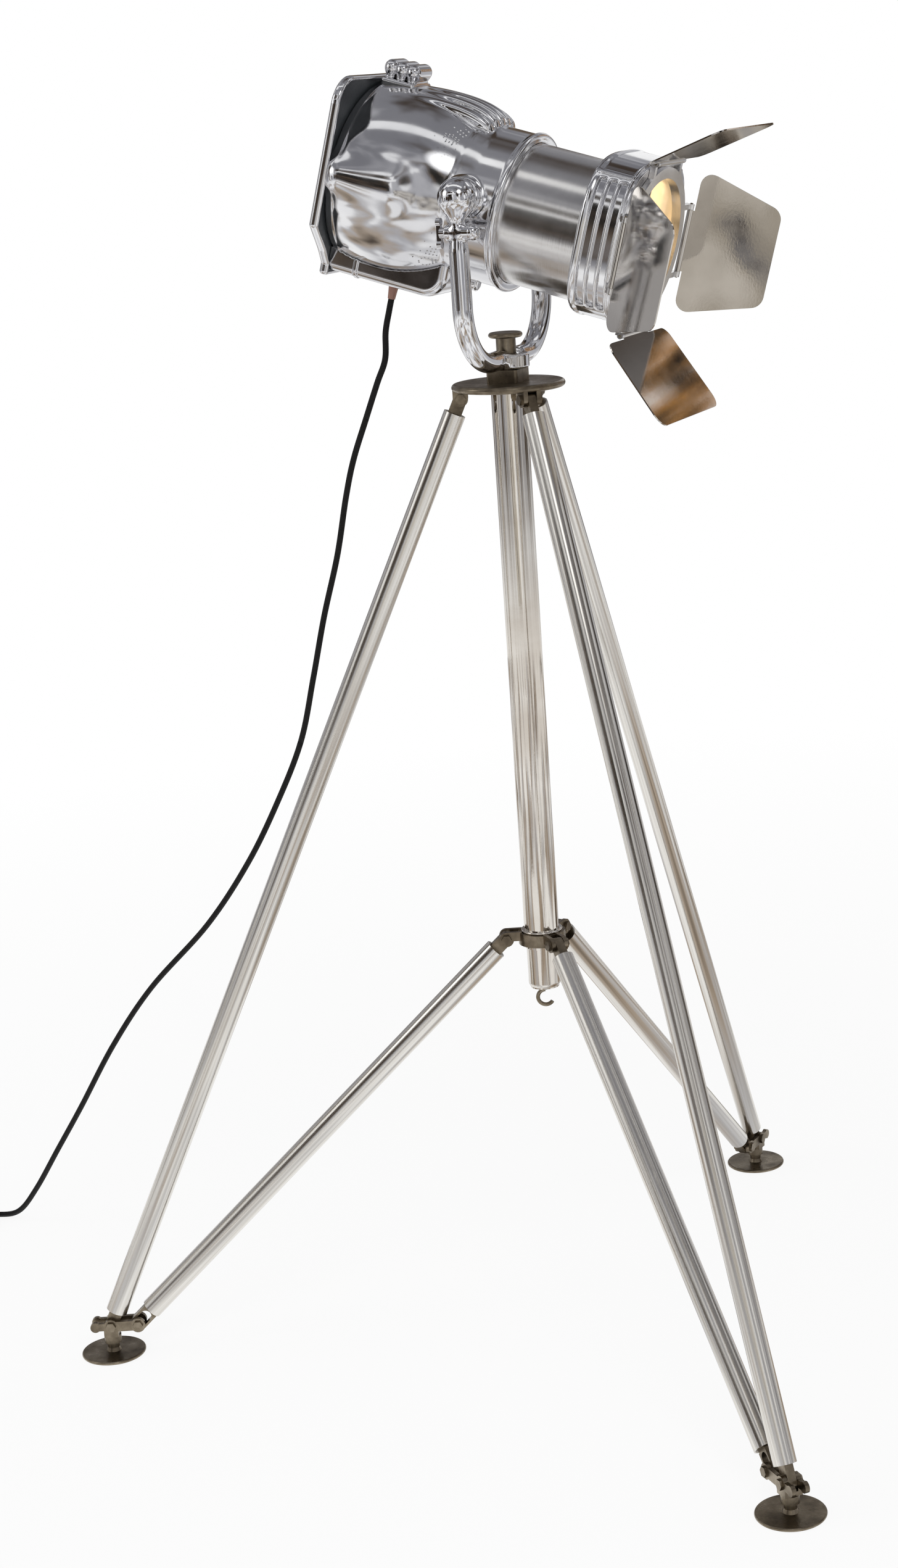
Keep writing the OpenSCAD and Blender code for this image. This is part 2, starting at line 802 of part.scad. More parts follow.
module lamp_housing() {
  color(polished)
    difference() {
      union() {
        turned() dome_section(0);
        turned() neck_section();
        turned() translate([neck_r - 6, neck_start_u]) square([6, -neck_start_u]);
        top_fins();
        for (side = [-1, 1]) {
          side_capsule(side);
          at_head() translate([0, side * (tube_r - 10 + pivot_boss_v) / 2, 0])
            shaft_y(2 * ball_r - 6, pivot_boss_v - tube_r + 10);
        }
      }
      // The hollow inside
      turned() {
        dome_section(shell_t);
        translate([0, -dome_rear_u - overlap]) square([dome_radius(-dome_rear_u) - shell_t, overlap + 1]);
        translate([0, dome_neck_u - 1]) square([tube_r, neck_u - dome_neck_u + 10]);
      }
      at_head() shaft_y(stud_d, 4 * neck_r);
      // Room around the pivot washers
      for (side = [-1, 1])
        at_head() translate([0, side * (pivot_boss_v + ball_r), 0]) shaft_y(washer_d + 2, 2 * ball_r);
    }
}

cowl_d = 15;
cowl_half_v = 14;
cowl_h = 22;
cowl_low_w = dome_r - axis_drop - 8;
cowl_rear_u = -144;
cowl_pitch = 13.5;

module vent_cowl() {
  color(polished)
    difference() {
      at_head()
        for (i = [0 : 2])
          translate([cowl_rear_u + cowl_pitch * i, 0, cowl_low_w]) {
            cylinder(d = cowl_d, h = cowl_h);
            for (side = [-1, 1])
              translate([0, side * cowl_half_v, 0]) cylinder(d = cowl_d, h = cowl_h);
            translate([-cowl_d / 2, -cowl_half_v, 0]) cube([cowl_d, 2 * cowl_half_v, cowl_h]);
            translate([0, -cowl_half_v, cowl_h]) rotate([-90, 0, 0]) cylinder(d = cowl_d, h = 2 * cowl_half_v);
            for (side = [-1, 1])
              translate([0, side * cowl_half_v, cowl_h]) sphere(d = cowl_d);
          }
      turned() dome_section(0);
    }
}

// Outline of the rear cover, drawn as v and w, drawn in by inset
module cover_outline(inset) {
  top_r = 26;
  half = cover_half_w - inset;
  top = cover_top_w - inset;
  low = -cover_bottom_w + inset;
  chamfer_top = -70;
  foot = skirt_half_w + side_gap + rim_t - inset;
  polygon(concat(
    [for (a = [0 : 10 : 90]) [half - top_r + top_r * cos(a), top - top_r + top_r * sin(a)]],
    [for (a = [90 : 10 : 180]) [-half + top_r + top_r * cos(a), top - top_r + top_r * sin(a)]],
    [
      [-half, chamfer_top],
      [-half + 31, chamfer_top - 29],
      [-foot, low + 10],
      [-foot, low],
      [foot, low],
      [foot, low + 10],
      [half - 31, chamfer_top - 29],
      [half, chamfer_top]
    ]
  ));
}

// Extrudes an outline drawn as v and w forward from u
module along_u(u, h) {
  at_head() translate([u, 0, 0]) rotate([90, 0, 90]) linear_extrude(h) children();
}

module rear_cover() {
  color(polished)
    difference() {
      along_u(cover_face_u - cover_t, rim_depth) cover_outline(0);
      along_u(cover_face_u, rim_depth) cover_outline(rim_t);
    }
}

module rear_panel() {
  color(charcoal)
    difference() {
      along_u(cover_face_u, panel_t) cover_outline(rim_t);
      turned() translate([0, cover_face_u - overlap]) square([dome_r - 16, panel_t + 2 * overlap]);
    }
}

screw_places = [[-84, 66], [84, 66], [-92, -40], [92, -40]];

module cover_screws() {
  color(stainless)
    for (p = screw_places)
      at_head() translate([cover_face_u - cover_t - 3, p[0], p[1]]) rotate([0, 90, 0]) cylinder(d = 9, h = 3);
}

// The electrical compartment under the housing
module skirt_outline(inset) {
  corner = 26;
  difference() {
    translate([-dome_rear_u, skirt_bottom_w + inset])
      square([dome_rear_u + skirt_front_u - inset, 70]);
    translate([skirt_front_u - corner, skirt_bottom_w])
      difference() {
        square([corner + 1, corner]);
        translate([0, corner]) circle(r = corner - inset);
      }
  }
}

module base_skirt() {
  post_w = 5;
  post_out = 1.5;
  color(polished)
    difference() {
      union() {
        at_head() {
          plate_y(2 * skirt_half_w) skirt_outline(0);
          translate([skirt_seam_u - post_w / 2, -skirt_half_w - post_out, skirt_bottom_w - post_out])
            cube([post_w, 2 * (skirt_half_w + post_out), 60]);
          // Screw boss at the front, under the collar
          translate([skirt_front_u - 4, 0, skirt_bottom_w + 19]) rotate([0, 90, 0]) cylinder(d = 17, h = 20);
        }
      }
      at_head() plate_y(2 * (skirt_half_w - shell_t)) skirt_outline(shell_t);
      turned() {
        dome_section(0);
        translate([0, neck_start_u]) square([neck_r, neck_u - neck_start_u]);
      }
      at_head() translate([gland_u, 0, skirt_bottom_w - overlap]) cylinder(d = cord_d + 1, h = 8);
    }
}

module cord_gland() {
  color([0.45, 0.30, 0.24])
    at_head() translate([gland_u, 0, skirt_bottom_w - gland_len])
      cylinder(d1 = cord_d + 1.5, d2 = cord_d + 6, h = gland_len);
}

module lens_tube() {
  color(satin)
    turned()
      translate([tube_r - tube_wall, neck_start_u + 2]) square([tube_wall, tube_front_u - neck_start_u - 2]);
}

// Points of a rounded box outline: a superellipse
function squircle(half_w, half_h, power, n) = [
  for (i = [0 : n - 1])
    let (a = 360 * i / n, c = cos(a), s = sin(a))
      [half_w * sign(c) * pow(abs(c), 2 / power), half_h * sign(s) * pow(abs(s), 2 / power)]
];

front_centre_w = -10;
front_rear_t = 4;
front_wall = 8;
front_step = 3;
front_flange_t = 4;
rear_flange_t = 10;
panel_inset = 1.5;
groove_low = front_centre_w - front_half_h + 20;
groove_high = front_centre_w + front_half_h - 23;
side_bar_low = groove_high + 5;
side_bar_h = 3;

module front_outline(inset) {
  translate([0, front_centre_w])
    polygon(squircle(front_half_w - inset, front_half_h - inset, 3.2, 72));
}

// The outer half of both side panels between two heights
module side_band(low, height) {
  for (side = [-1, 1])
    translate([side * front_half_w - front_half_w / 2, low])
      square([front_half_w, height]);
}

// Upright grooves in the side panels, as deep all along as the outline curves
module side_grooves() {
  first = front_u + rear_flange_t + groove_w / 2;
  last = front_end_u - front_step - front_flange_t - groove_w / 2;
  for (i = [0 : groove_count - 1])
    along_u(first + i * (last - first) / (groove_count - 1) - groove_w / 2, groove_w)
      difference() {
        side_band(groove_low, groove_high - groove_low);
        front_outline(groove_depth + panel_inset);
      }
}

module front_housing() {
  color(polished)
    difference() {
      union() {
        along_u(front_u, front_len - front_step) front_outline(panel_inset);
        along_u(front_u, front_len - front_step)
          intersection() {
            front_outline(0);
            side_band(side_bar_low, side_bar_h);
          }
        along_u(front_u, rear_flange_t) front_outline(0);
        along_u(front_end_u - front_step - front_flange_t, front_flange_t) front_outline(0);
        along_u(front_end_u - front_step - 1, front_step + 1) front_outline(5);
      }
      along_u(front_u + front_rear_t, front_len - front_rear_t - front_step) front_outline(front_wall);
      turned() translate([0, front_u - overlap]) square([tube_r, front_rear_t + 2 * overlap]);
      turned() translate([0, front_end_u - 5]) square([spigot_r + run_gap, 5 + overlap]);
      side_grooves();
    }
}

lens_u = tube_front_u - 18;
lens_t = 6;

module lens() {
  color([0.9, 0.95, 1, 0.4])
    turned() {
      translate([0, lens_u]) square([ring_bore_r, lens_t]);
      intersection() {
        translate([0, lens_u + lens_t - 150]) circle(r = 160);
        translate([0, lens_u]) square([60, 30]);
      }
    }
}

module lens_retainer() {
  color(satin)
    turned()
      translate([ring_bore_r - 4, lens_u + lens_t]) square([4, 5]);
}

reflector_u = -62;

module reflector() {
  t = 1.5;
  depth = 52;
  mouth = 84;
  hole = 17;
  steps = 12;
  color(polished)
    turned() {
      polygon(concat(
        [for (i = [0 : steps])
          let (r = hole + (mouth - hole) * i / steps) [r, reflector_u - depth + depth * pow(r / mouth, 2)]],
        [for (i = [steps : -1 : 0])
          let (r = hole + (mouth - hole) * i / steps) [r, reflector_u - depth + depth * pow(r / mouth, 2) + t]]
      ));
      translate([mouth - 1, reflector_u])
        square([dome_radius(reflector_u + t) - shell_t - side_gap - mouth + 1, t]);
    }
}

socket_u = -146;
socket_len = 44;
strap_u = -136;

module lamp_socket() {
  color([0.85, 0.84, 0.8])
    turned() {
      translate([0, socket_u]) square([15, 10]);
      translate([10, socket_u]) square([6, socket_len]);
    }
}

module bulb() {
  globe_u = -68;
  color([1, 0.95, 0.8, 0.6])
    turned()
      intersection() {
        union() {
          translate([0, globe_u]) circle(r = 24);
          translate([0, socket_u + 10]) square([10, globe_u - socket_u - 10]);
        }
        translate([0, socket_u]) square([30, 200]);
      }
}

module socket_bracket() {
  reach = dome_radius(strap_u) - shell_t - 1;
  color(satin)
    difference() {
      intersection() {
        on_axis() translate([-11, -reach - 5, strap_u]) cube([22, 2 * reach + 10, 3]);
        turned() dome_section(shell_t);
      }
      turned() translate([0, strap_u - overlap]) square([16, 3 + 2 * overlap]);
    }
}

module pivot_studs() {
  color(polished)
    at_head()
      for (side = [-1, 1])
        translate([0, side * (stud_in_v + stud_out_v) / 2, 0]) shaft_y(stud_d, stud_out_v - stud_in_v);
}

// ---------------------------------------------------------------- barn doors

knuckle_r = 3.4;
ear_w = 6;
ear_v = knuckle_len / 2 + side_gap + ear_w / 2;
leaf_start = 5;
// The tab by which a leaf's sheet sits in its knuckle: start, from the pin's centre, and half width
leaf_tab_in = 2.4;
leaf_tab_v = knuckle_len / 2 - 0.6;

// A hinge's own frame: X away from the optical axis, Y along the hinge, Z forward
module at_hinge(turn, r) {
  on_axis() rotate([0, 0, turn]) translate([r, 0, hinge_u]) children();
}

// The hinges: turn about the optical axis, distance, and outward angle of the leaf
top_hinge = [180, hinge_r_flat, top_leaf_angle];
bottom_hinge = [0, hinge_r_flat, bottom_leaf_angle];
far_hinge = [90, hinge_r_side, far_leaf_angle];
near_hinge = [-90, hinge_r_side, near_leaf_angle];
hinges = [top_hinge, bottom_hinge, far_hinge, near_hinge];

module ring_ear(r) {
  root = r - sqrt(pow(ring_r, 2) - pow(ear_v + ear_w / 2, 2)) + 3;
  for (side = [-1, 1])
    translate([0, side * ear_v, 0])
      difference() {
        union() {
          shaft_y(2 * knuckle_r, ear_w);
          translate([-root, -ear_w / 2, ring_face_u - hinge_u])
            cube([root, ear_w, ring_t]);
        }
        shaft_y(hinge_pin_d, ear_w + 2 * overlap);
      }
}

module door_ring() {
  color(satin)
    difference() {
      union() {
        turned() {
          translate([ring_bore_r, ring_face_u]) square([ring_r - ring_bore_r, ring_t]);
          translate([ring_bore_r, front_end_u - 4]) square([spigot_r - ring_bore_r, 5]);
        }
        for (h = hinges)
          at_hinge(h[0], h[1]) ring_ear(h[1]);
      }
      for (h = hinges)
        at_hinge(h[0], h[1]) shaft_y(2 * knuckle_r + 1, knuckle_len + 2 * side_gap);
    }
}

module hinge_pins() {
  color(bronze)
    for (h = hinges)
      at_hinge(h[0], h[1]) shaft_y(hinge_pin_d, knuckle_len + 2 * side_gap + 2 * ear_w + 2);
}

// A leaf's outline, drawn as distance from the hinge and place along it, with round corners
module leaf_outline(root, edge, reach) {
  slope = atan2((edge - root) / 2, reach - leaf_start);
  r = leaf_corner_r;
  corner_x = reach - r;
  corner_y = root / 2 + tan(slope) * (corner_x - leaf_start) - r / cos(slope);
  root_x = leaf_start + leaf_root_r;
  root_y = root / 2 + tan(slope) * leaf_root_r - leaf_root_r / cos(slope);
  root_arc = [for (i = [0 : 8])
    let (a = 180 - (90 - slope) * i / 8) [root_x + leaf_root_r * cos(a), root_y + leaf_root_r * sin(a)]];
  outer_arc = [for (i = [0 : 8])
    let (a = (90 + slope) * (1 - i / 8)) [corner_x + r * cos(a), corner_y + r * sin(a)]];
  half_edge = concat(root_arc, outer_arc);
  polygon(concat(
    [[leaf_start, -leaf_tab_v], [leaf_tab_in, -leaf_tab_v], [leaf_tab_in, leaf_tab_v], [leaf_start, leaf_tab_v]],
    half_edge,
    [for (i = [len(half_edge) - 1 : -1 : 0]) [half_edge[i][0], -half_edge[i][1]]]
  ));
}

module leaf(h, root, edge, reach) {
  color(stainless)
    at_hinge(h[0], h[1])
      difference() {
        union() {
          shaft_y(2 * knuckle_r, knuckle_len);
          rotate([0, h[2] - 90, 0]) translate([0, 0, -leaf_t / 2])
            linear_extrude(leaf_t) leaf_outline(root, edge, reach);
        }
        shaft_y(hinge_pin_d + 2 * run_gap, knuckle_len + 2 * overlap);
      }
}

module leaf_top() { leaf(top_hinge, flat_leaf_root, flat_leaf_edge, top_leaf_len); }
module leaf_bottom() { leaf(bottom_hinge, flat_leaf_root, flat_leaf_edge, bottom_leaf_len); }
module leaf_far() { leaf(far_hinge, side_leaf_root, side_leaf_edge, side_leaf_len); }
module leaf_near() { leaf(near_hinge, side_leaf_root, side_leaf_edge, side_leaf_len); }

// ---------------------------------------------------------------- power cord

floor_z = cord_d / 2;
coil_centre = [-900, 55];
coil_gap = 0.6;
coil_pitch = cord_d + coil_gap;
coil_start = 82;
coil_end = 180 + 360 * coil_turns;
coil_layer_turns = (coil_end - coil_start - 180) / 720;
coil_in_r = coil_r - coil_pitch * coil_layer_turns;

// The hanging stretch, in the part's frame, after it has left the gland
hang_points = [
  [-147, 0, 1176], [-151, 2, 1145], [-164, 4, 1118], [-182, 6, 1078], [-203, 8, 1030], [-218, 11, 985],
  [-236, 14, 917], [-261, 17, 843], [-283, 20, 768], [-308, 24, 690], [-349, 29, 612], [-401, 37, 531],
  [-470, 46, 446], [-566, 59, 354], [-635, 68, 270], [-698, 77, 178], [-745, 84, 112], [-788, 91, 52],
  [-822, 96, 15], [-858, 101, floor_z]
];

function unit(v) = v / norm(v);

// A Catmull-Rom curve through the points
function curve_at(p, i, t) =
  let (a = p[max(i - 1, 0)], b = p[i], c = p[i + 1], d = p[min(i + 2, len(p) - 1)])
    0.5 * (2 * b + (c - a) * t + (2 * a - 5 * b + 4 * c - d) * t * t + (3 * b - a - 3 * c + d) * t * t * t);

// The spiral: inwards on the floor, up in half a turn, and outwards on top
function coil_at(a) =
  let (
    inward = 360 * coil_layer_turns,
    t = a - coil_start,
    r = coil_in_r + coil_pitch * (abs(t - inward - 90) - 90) / 360,
    climb = min(max((t - inward) / 180, 0), 1),
    z = floor_z + coil_pitch * (1 - cos(180 * climb)) / 2
  )
    [coil_centre[0] + r * cos(a), coil_centre[1] + r * sin(a), z];

coil_entry = coil_at(coil_start);
coil_in_dir = unit(coil_at(coil_start + 1) - coil_at(coil_start));
coil_exit = coil_at(coil_end);
coil_out_dir = unit(coil_at(coil_end) - coil_at(coil_end - 1));

route = concat(
  [cord_start, cord_start + 2 * cord_d * cord_drop],
  hang_points,
  [coil_entry - cord_d * coil_in_dir, coil_entry]
);
route_steps = 3;
cord_points = concat(
  [for (i = [0 : len(route) - 2], k = [0 : route_steps - 1]) curve_at(route, i, k / route_steps)],
  [coil_entry]
);

tail_len = 42;
plug_start = coil_exit + tail_len * coil_out_dir;
coil_step = 360 / coil_rings;
coil_points = concat(
  [for (a = [coil_start : coil_step : coil_end - coil_step / 2]) coil_at(a)],
  [coil_exit, coil_exit + tail_len / 2 * coil_out_dir, plug_start]
);

// Least gap between the coil's tube and itself, measured between points at least half a turn apart
coil_clearance = min([
  for (i = [0 : len(coil_points) - 1], j = [i + floor(coil_rings / 2) : 1 : len(coil_points) - 1])
    norm(coil_points[i] - coil_points[j])
]) - cord_d;
echo(coil_clearance = coil_clearance);

// A tube of n sides through the points, with flat ends square to its first and last directions
module swept_tube(points, d, n, first_dir, last_dir) {
  count = len(points);
  dirs = [for (i = [0 : count - 1])
    i == 0 ? first_dir : i == count - 1 ? last_dir : unit(points[i + 1] - points[i - 1])];
  rings = [for (i = [0 : count - 1])
    let (t = dirs[i], side = unit(cross(t, [0.08, 1, 0.05])), up = cross(side, t))
      for (k = [0 : n - 1]) points[i] + d / 2 * (cos(360 * k / n) * side + sin(360 * k / n) * up)];
  walls = [for (i = [0 : count - 2], k = [0 : n - 1])
    let (a = i * n + k, b = i * n + (k + 1) % n)
      each [[a, b, a + n], [b, b + n, a + n]]];
  polyhedron(
    concat(rings, [points[0], points[count - 1]]),
    concat(
      walls,
      [for (k = [0 : n - 1]) [count * n, (k + 1) % n, k]],
      [for (k = [0 : n - 1]) [count * n + 1, (count - 1) * n + k, (count - 1) * n + (k + 1) % n]]
    )
  );
}

module power_cord() {
  color(black) swept_tube(cord_points, cord_d, 8, cord_drop, coil_in_dir);
}

// The coil's rings stand upright, so that its sides never pass through one another
module coil_tube(n) {
  count = len(coil_points);
  dirs = [for (i = [0 : count - 1])
    i == 0 ? coil_in_dir : i == count - 1 ? coil_out_dir : unit(coil_points[i + 1] - coil_points[i - 1])];
  rings = [for (i = [0 : count - 1])
    let (t = dirs[i], side = unit(cross(t, [0, 0, 1])), up = cross(side, t))
      for (k = [0 : n - 1]) coil_points[i] + cord_d / 2 * (cos(360 * k / n) * side + sin(360 * k / n) * up)];
  walls = [for (i = [0 : count - 2], k = [0 : n - 1])
    let (a = i * n + k, b = i * n + (k + 1) % n)
      each [[a, b, a + n], [b, b + n, a + n]]];
  polyhedron(
    concat(rings, [coil_points[0], coil_points[count - 1]]),
    concat(
      walls,
      [for (k = [0 : n - 1]) [count * n, (k + 1) % n, k]],
      [for (k = [0 : n - 1]) [count * n + 1, (count - 1) * n + k, (count - 1) * n + (k + 1) % n]]
    )
  );
}

module cord_coil() {
  color(black) coil_tube(6);
}

plug_d = 22;
plug_len_all = 34;
plug_prong_d = 4.5;
plug_prong_len = 18;

module mains_plug() {
  heading = atan2(coil_out_dir[1], coil_out_dir[0]);
  color(black)
    translate([plug_start[0], plug_start[1], plug_start[2]]) rotate([0, 0, heading]) rotate([0, 90, 0]) {
      cylinder(d1 = cord_d + 3, d2 = plug_d - 4, h = 12);
      translate([0, 0, 12]) cylinder(d = plug_d - 2, h = plug_len_all - 12);
      for (side = [-1, 1])
        translate([0, side * 6, plug_len_all - 1]) cylinder(d = plug_prong_d, h = plug_prong_len + 1);
    }
}

// ---------------------------------------------------------------- nodes

hub_plate();
hub_pins();
outer_column();
power_cord();
cord_coil();
mains_plug();
riser_tube();
riser_cap();
weight_hook();
column_head();
pan_knob();
yoke();
tilt_clamp();
pivot_washers();
lamp_housing();
vent_cowl();
rear_cover();
rear_panel();
cover_screws();
base_skirt();
cord_gland();
lens_tube();
front_housing();
lens();
lens_retainer();
reflector();
lamp_socket();
bulb();
socket_bracket();
pivot_studs();
door_ring();
hinge_pins();
leaf_top();
leaf_bottom();
leaf_near();
leaf_far();
leg(0);  // leg_1
leg(1);  // leg_2
leg(2);  // leg_3
leg_ends(0);  // leg_1_ends
leg_ends(1);  // leg_2_ends
leg_ends(2);  // leg_3_ends
brace(0);  // brace_1
brace(1);  // brace_2
brace(2);  // brace_3
brace_ends(0);  // brace_1_ends
brace_ends(1);  // brace_2_ends
brace_ends(2);  // brace_3_ends
sliding_collar();
collar_bush();
collar_pins();
foot_bracket(0);  // foot_bracket_1
foot_bracket(1);  // foot_bracket_2
foot_bracket(2);  // foot_bracket_3
foot_disc(0);  // foot_disc_1
foot_disc(1);  // foot_disc_2
foot_disc(2);  // foot_disc_3
foot_pins(0);  // foot_pins_1
foot_pins(1);  // foot_pins_2
foot_pins(2);  // foot_pins_3
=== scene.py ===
"""Tripod spotlight floor lamp: the looks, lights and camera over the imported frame, in metres.

The frame's origin is the floor point under the column, +Z is up and +X is the lamp's pointing direction.
"""
from math import cos, pi, radians, sin

import bpy
import numpy as np
from mathutils import Matrix, Vector


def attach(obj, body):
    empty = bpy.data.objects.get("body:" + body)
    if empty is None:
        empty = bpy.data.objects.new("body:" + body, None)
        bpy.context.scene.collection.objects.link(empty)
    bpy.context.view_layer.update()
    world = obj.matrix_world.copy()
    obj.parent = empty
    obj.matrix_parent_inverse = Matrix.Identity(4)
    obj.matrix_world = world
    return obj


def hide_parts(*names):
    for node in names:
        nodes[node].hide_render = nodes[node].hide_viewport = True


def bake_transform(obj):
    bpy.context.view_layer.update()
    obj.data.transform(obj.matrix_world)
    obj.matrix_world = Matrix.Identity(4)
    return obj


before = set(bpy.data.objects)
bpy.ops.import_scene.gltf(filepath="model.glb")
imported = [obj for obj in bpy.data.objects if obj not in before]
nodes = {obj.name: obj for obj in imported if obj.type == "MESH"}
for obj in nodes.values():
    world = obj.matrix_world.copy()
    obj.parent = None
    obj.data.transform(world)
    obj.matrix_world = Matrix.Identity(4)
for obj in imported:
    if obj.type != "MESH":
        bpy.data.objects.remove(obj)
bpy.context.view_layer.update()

# ------------------------------------------------------------------ sizes, as the part's source has them

MM = 0.001
TILT = radians(16)
PIVOT = Vector((0, 0, 1.328))
HEAD = Matrix.Translation(PIVOT) @ Matrix.Rotation(TILT, 4, "Y")
CORD_D = 0.007
FLOOR_Z = CORD_D / 2

# ------------------------------------------------------------------ camera

CAMERA_PLACE = (1.3089, -2.9368, 1.4718)
CAMERA_YAW = radians(23.37)
CAMERA_PITCH = radians(10.95)
CAMERA_ROLL = radians(-3.38)
CAMERA_LENS = 66.72
CAMERA_SHIFT = (-0.0677, -0.1065)
SENSOR_WIDTH = 36


def make_camera():
    """The photographed view, as fitted to the lamp's silhouettes."""
    right = Vector((cos(CAMERA_YAW), sin(CAMERA_YAW), 0))
    down = Vector((0, 0, -1))
    ahead = Vector((-sin(CAMERA_YAW), cos(CAMERA_YAW), 0))
    level = Matrix((right, down, ahead))
    turned = Matrix.Rotation(CAMERA_ROLL, 3, "Z") @ Matrix.Rotation(CAMERA_PITCH, 3, "X") @ level
    axes = Matrix((turned[0], -turned[1], -turned[2])).transposed()
    data = bpy.data.cameras.new("camera")
    data.sensor_width = SENSOR_WIDTH
    data.lens = CAMERA_LENS
    data.shift_x, data.shift_y = CAMERA_SHIFT
    camera = bpy.data.objects.new("camera", data)
    bpy.context.scene.collection.objects.link(camera)
    camera.matrix_world = Matrix.Translation(CAMERA_PLACE) @ axes.to_4x4()
    bpy.context.scene.camera = camera


make_camera()

# ------------------------------------------------------------------ materials


class Nodes:
    """A short way to write a material's nodes."""

    def __init__(self, name):
        self.material = bpy.data.materials.new(name)
        self.material.use_nodes = True
        self.tree = self.material.node_tree
        self.shader = self.tree.nodes["Principled BSDF"]

    def node(self, kind, inputs=None, **settings):
        made = self.tree.nodes.new(kind)
        for key, value in settings.items():
            setattr(made, key, value)
        for key, value in (inputs or {}).items():
            if isinstance(value, bpy.types.NodeSocket):
                self.tree.links.new(value, made.inputs[key])
            else:
                made.inputs[key].default_value = value
        return made

    def place(self, scale=(1, 1, 1), rotation=(0, 0, 0), location=(0, 0, 0)):
        where = self.node("ShaderNodeTexCoord").outputs["Object"]
        mapped = self.node(
            "ShaderNodeMapping",
            {"Vector": where, "Scale": scale, "Rotation": rotation, "Location": location},
        )
        return mapped.outputs["Vector"]

    def noise(self, vector, scale, detail=3.0, roughness=0.55, distortion=0.0):
        return self.node(
            "ShaderNodeTexNoise",
            {"Vector": vector, "Scale": scale, "Detail": detail, "Roughness": roughness,
             "Distortion": distortion},
        ).outputs["Fac"]

    def ramp(self, factor, stops):
        made = self.node("ShaderNodeValToRGB", {"Fac": factor})
        ramp = made.color_ramp
        while len(ramp.elements) < len(stops):
            ramp.elements.new(0.5)
        for element, (place, colour) in zip(ramp.elements, stops):
            element.position = place
            element.color = (*colour, 1)
        return made.outputs["Color"]

    def span(self, factor, low, high, from_low=0.3, from_high=0.7):
        return self.node(
            "ShaderNodeMapRange",
            {"Value": factor, "From Min": from_low, "From Max": from_high, "To Min": low, "To Max": high},
        ).outputs["Result"]

    def bump(self, height, strength, distance, normal=None):
        inputs = {"Height": height, "Strength": strength, "Distance": distance}
        if normal is not None:
            inputs["Normal"] = normal
        return self.node("ShaderNodeBump", inputs).outputs["Normal"]

    def set(self, **inputs):
        for key, value in inputs.items():
            socket = self.shader.inputs[key.replace("_", " ")]
            if isinstance(value, bpy.types.NodeSocket):
                self.tree.links.new(value, socket)
            else:
                socket.default_value = value
        return self.material


def polished_metal(name, low, high, rough=(0.06, 0.14), wave=0.012, wave_scale=14, scratch=0.02):
    """Hand-polished metal: a slightly uneven mirror with fine scratches."""
    n = Nodes(name)
    here = n.place()
    cloud = n.noise(here, 9, 4)
    fine = n.noise(n.place(scale=(1, 6, 1)), 260, 2)
    waves = n.noise(here, wave_scale, 1)
    normal = n.bump(waves, wave, 0.02)
    normal = n.bump(fine, scratch, 0.0004, normal)
    return n.set(
        Base_Color=n.ramp(cloud, [(0.35, low), (0.65, high)]),
        Metallic=1.0,
        Roughness=n.span(n.noise(here, 40, 5), *rough),
        Normal=normal,
    )


def tube_metal(name, start, end, low, high, rough=(0.16, 0.26)):
    """Metal drawn into a tube from start to end, with streaks along its length."""
    n = Nodes(name)
    along = (Vector(end) - Vector(start)).normalized()
    turn = along.rotation_difference(Vector((0, 0, 1))).to_euler()
    local = n.place(rotation=tuple(turn))
    stretched = n.node(
        "ShaderNodeMapping", {"Vector": local, "Scale": (1, 1, 0.012)}
    ).outputs["Vector"]
    streaks = n.noise(stretched, 420, 3)
    broad = n.noise(stretched, 110, 2)
    cloud = n.noise(local, 7, 3)
    mixed = n.node("ShaderNodeMath", {0: streaks, 1: broad}, operation="ADD").outputs[0]
    half = n.node("ShaderNodeMath", {0: mixed, 1: 0.5}, operation="MULTIPLY").outputs[0]
    normal = n.bump(streaks, 0.012, 0.0006)
    return n.set(
        Base_Color=n.ramp(half, [(0.36, low), (0.62, high)]),
        Metallic=1.0,
        Roughness=n.span(cloud, *rough),
        Anisotropic=0.2,
        Normal=normal,
    )


def bronze_metal():
    n = Nodes("bronze")
    here = n.place()
    patches = n.noise(here, 38, 5, 0.6)
    grain = n.noise(here, 620, 3)
    normal = n.bump(grain, 0.25, 0.0004)
    normal = n.bump(n.noise(here, 70, 2), 0.15, 0.002, normal)
    return n.set(
        Base_Color=n.ramp(patches, [(0.32, (0.13, 0.105, 0.075)), (0.52, (0.24, 0.20, 0.145)),
                                    (0.70, (0.36, 0.31, 0.24))]),
        Metallic=1.0,
        Roughness=n.span(patches, 0.40, 0.24),
        Normal=normal,
    )


def brushed_tube(name):
    """Turned metal: fine rings round the optical axis."""
    n = Nodes(name)
    local = n.place(rotation=(0, -TILT, 0))
    rings = n.noise(
        n.node("ShaderNodeMapping", {"Vector": local, "Scale": (1, 0.01, 0.01)}).outputs["Vector"], 900, 3
    )
    cloud = n.noise(local, 11, 4)
    normal = n.bump(rings, 0.16, 0.0004)
    return n.set(
        Base_Color=n.ramp(cloud, [(0.34, (0.62, 0.61, 0.60)), (0.66, (0.80, 0.79, 0.78))]),
        Metallic=1.0,
        Roughness=n.span(cloud, 0.16, 0.26),
        Anisotropic=0.6,
        Normal=normal,
    )


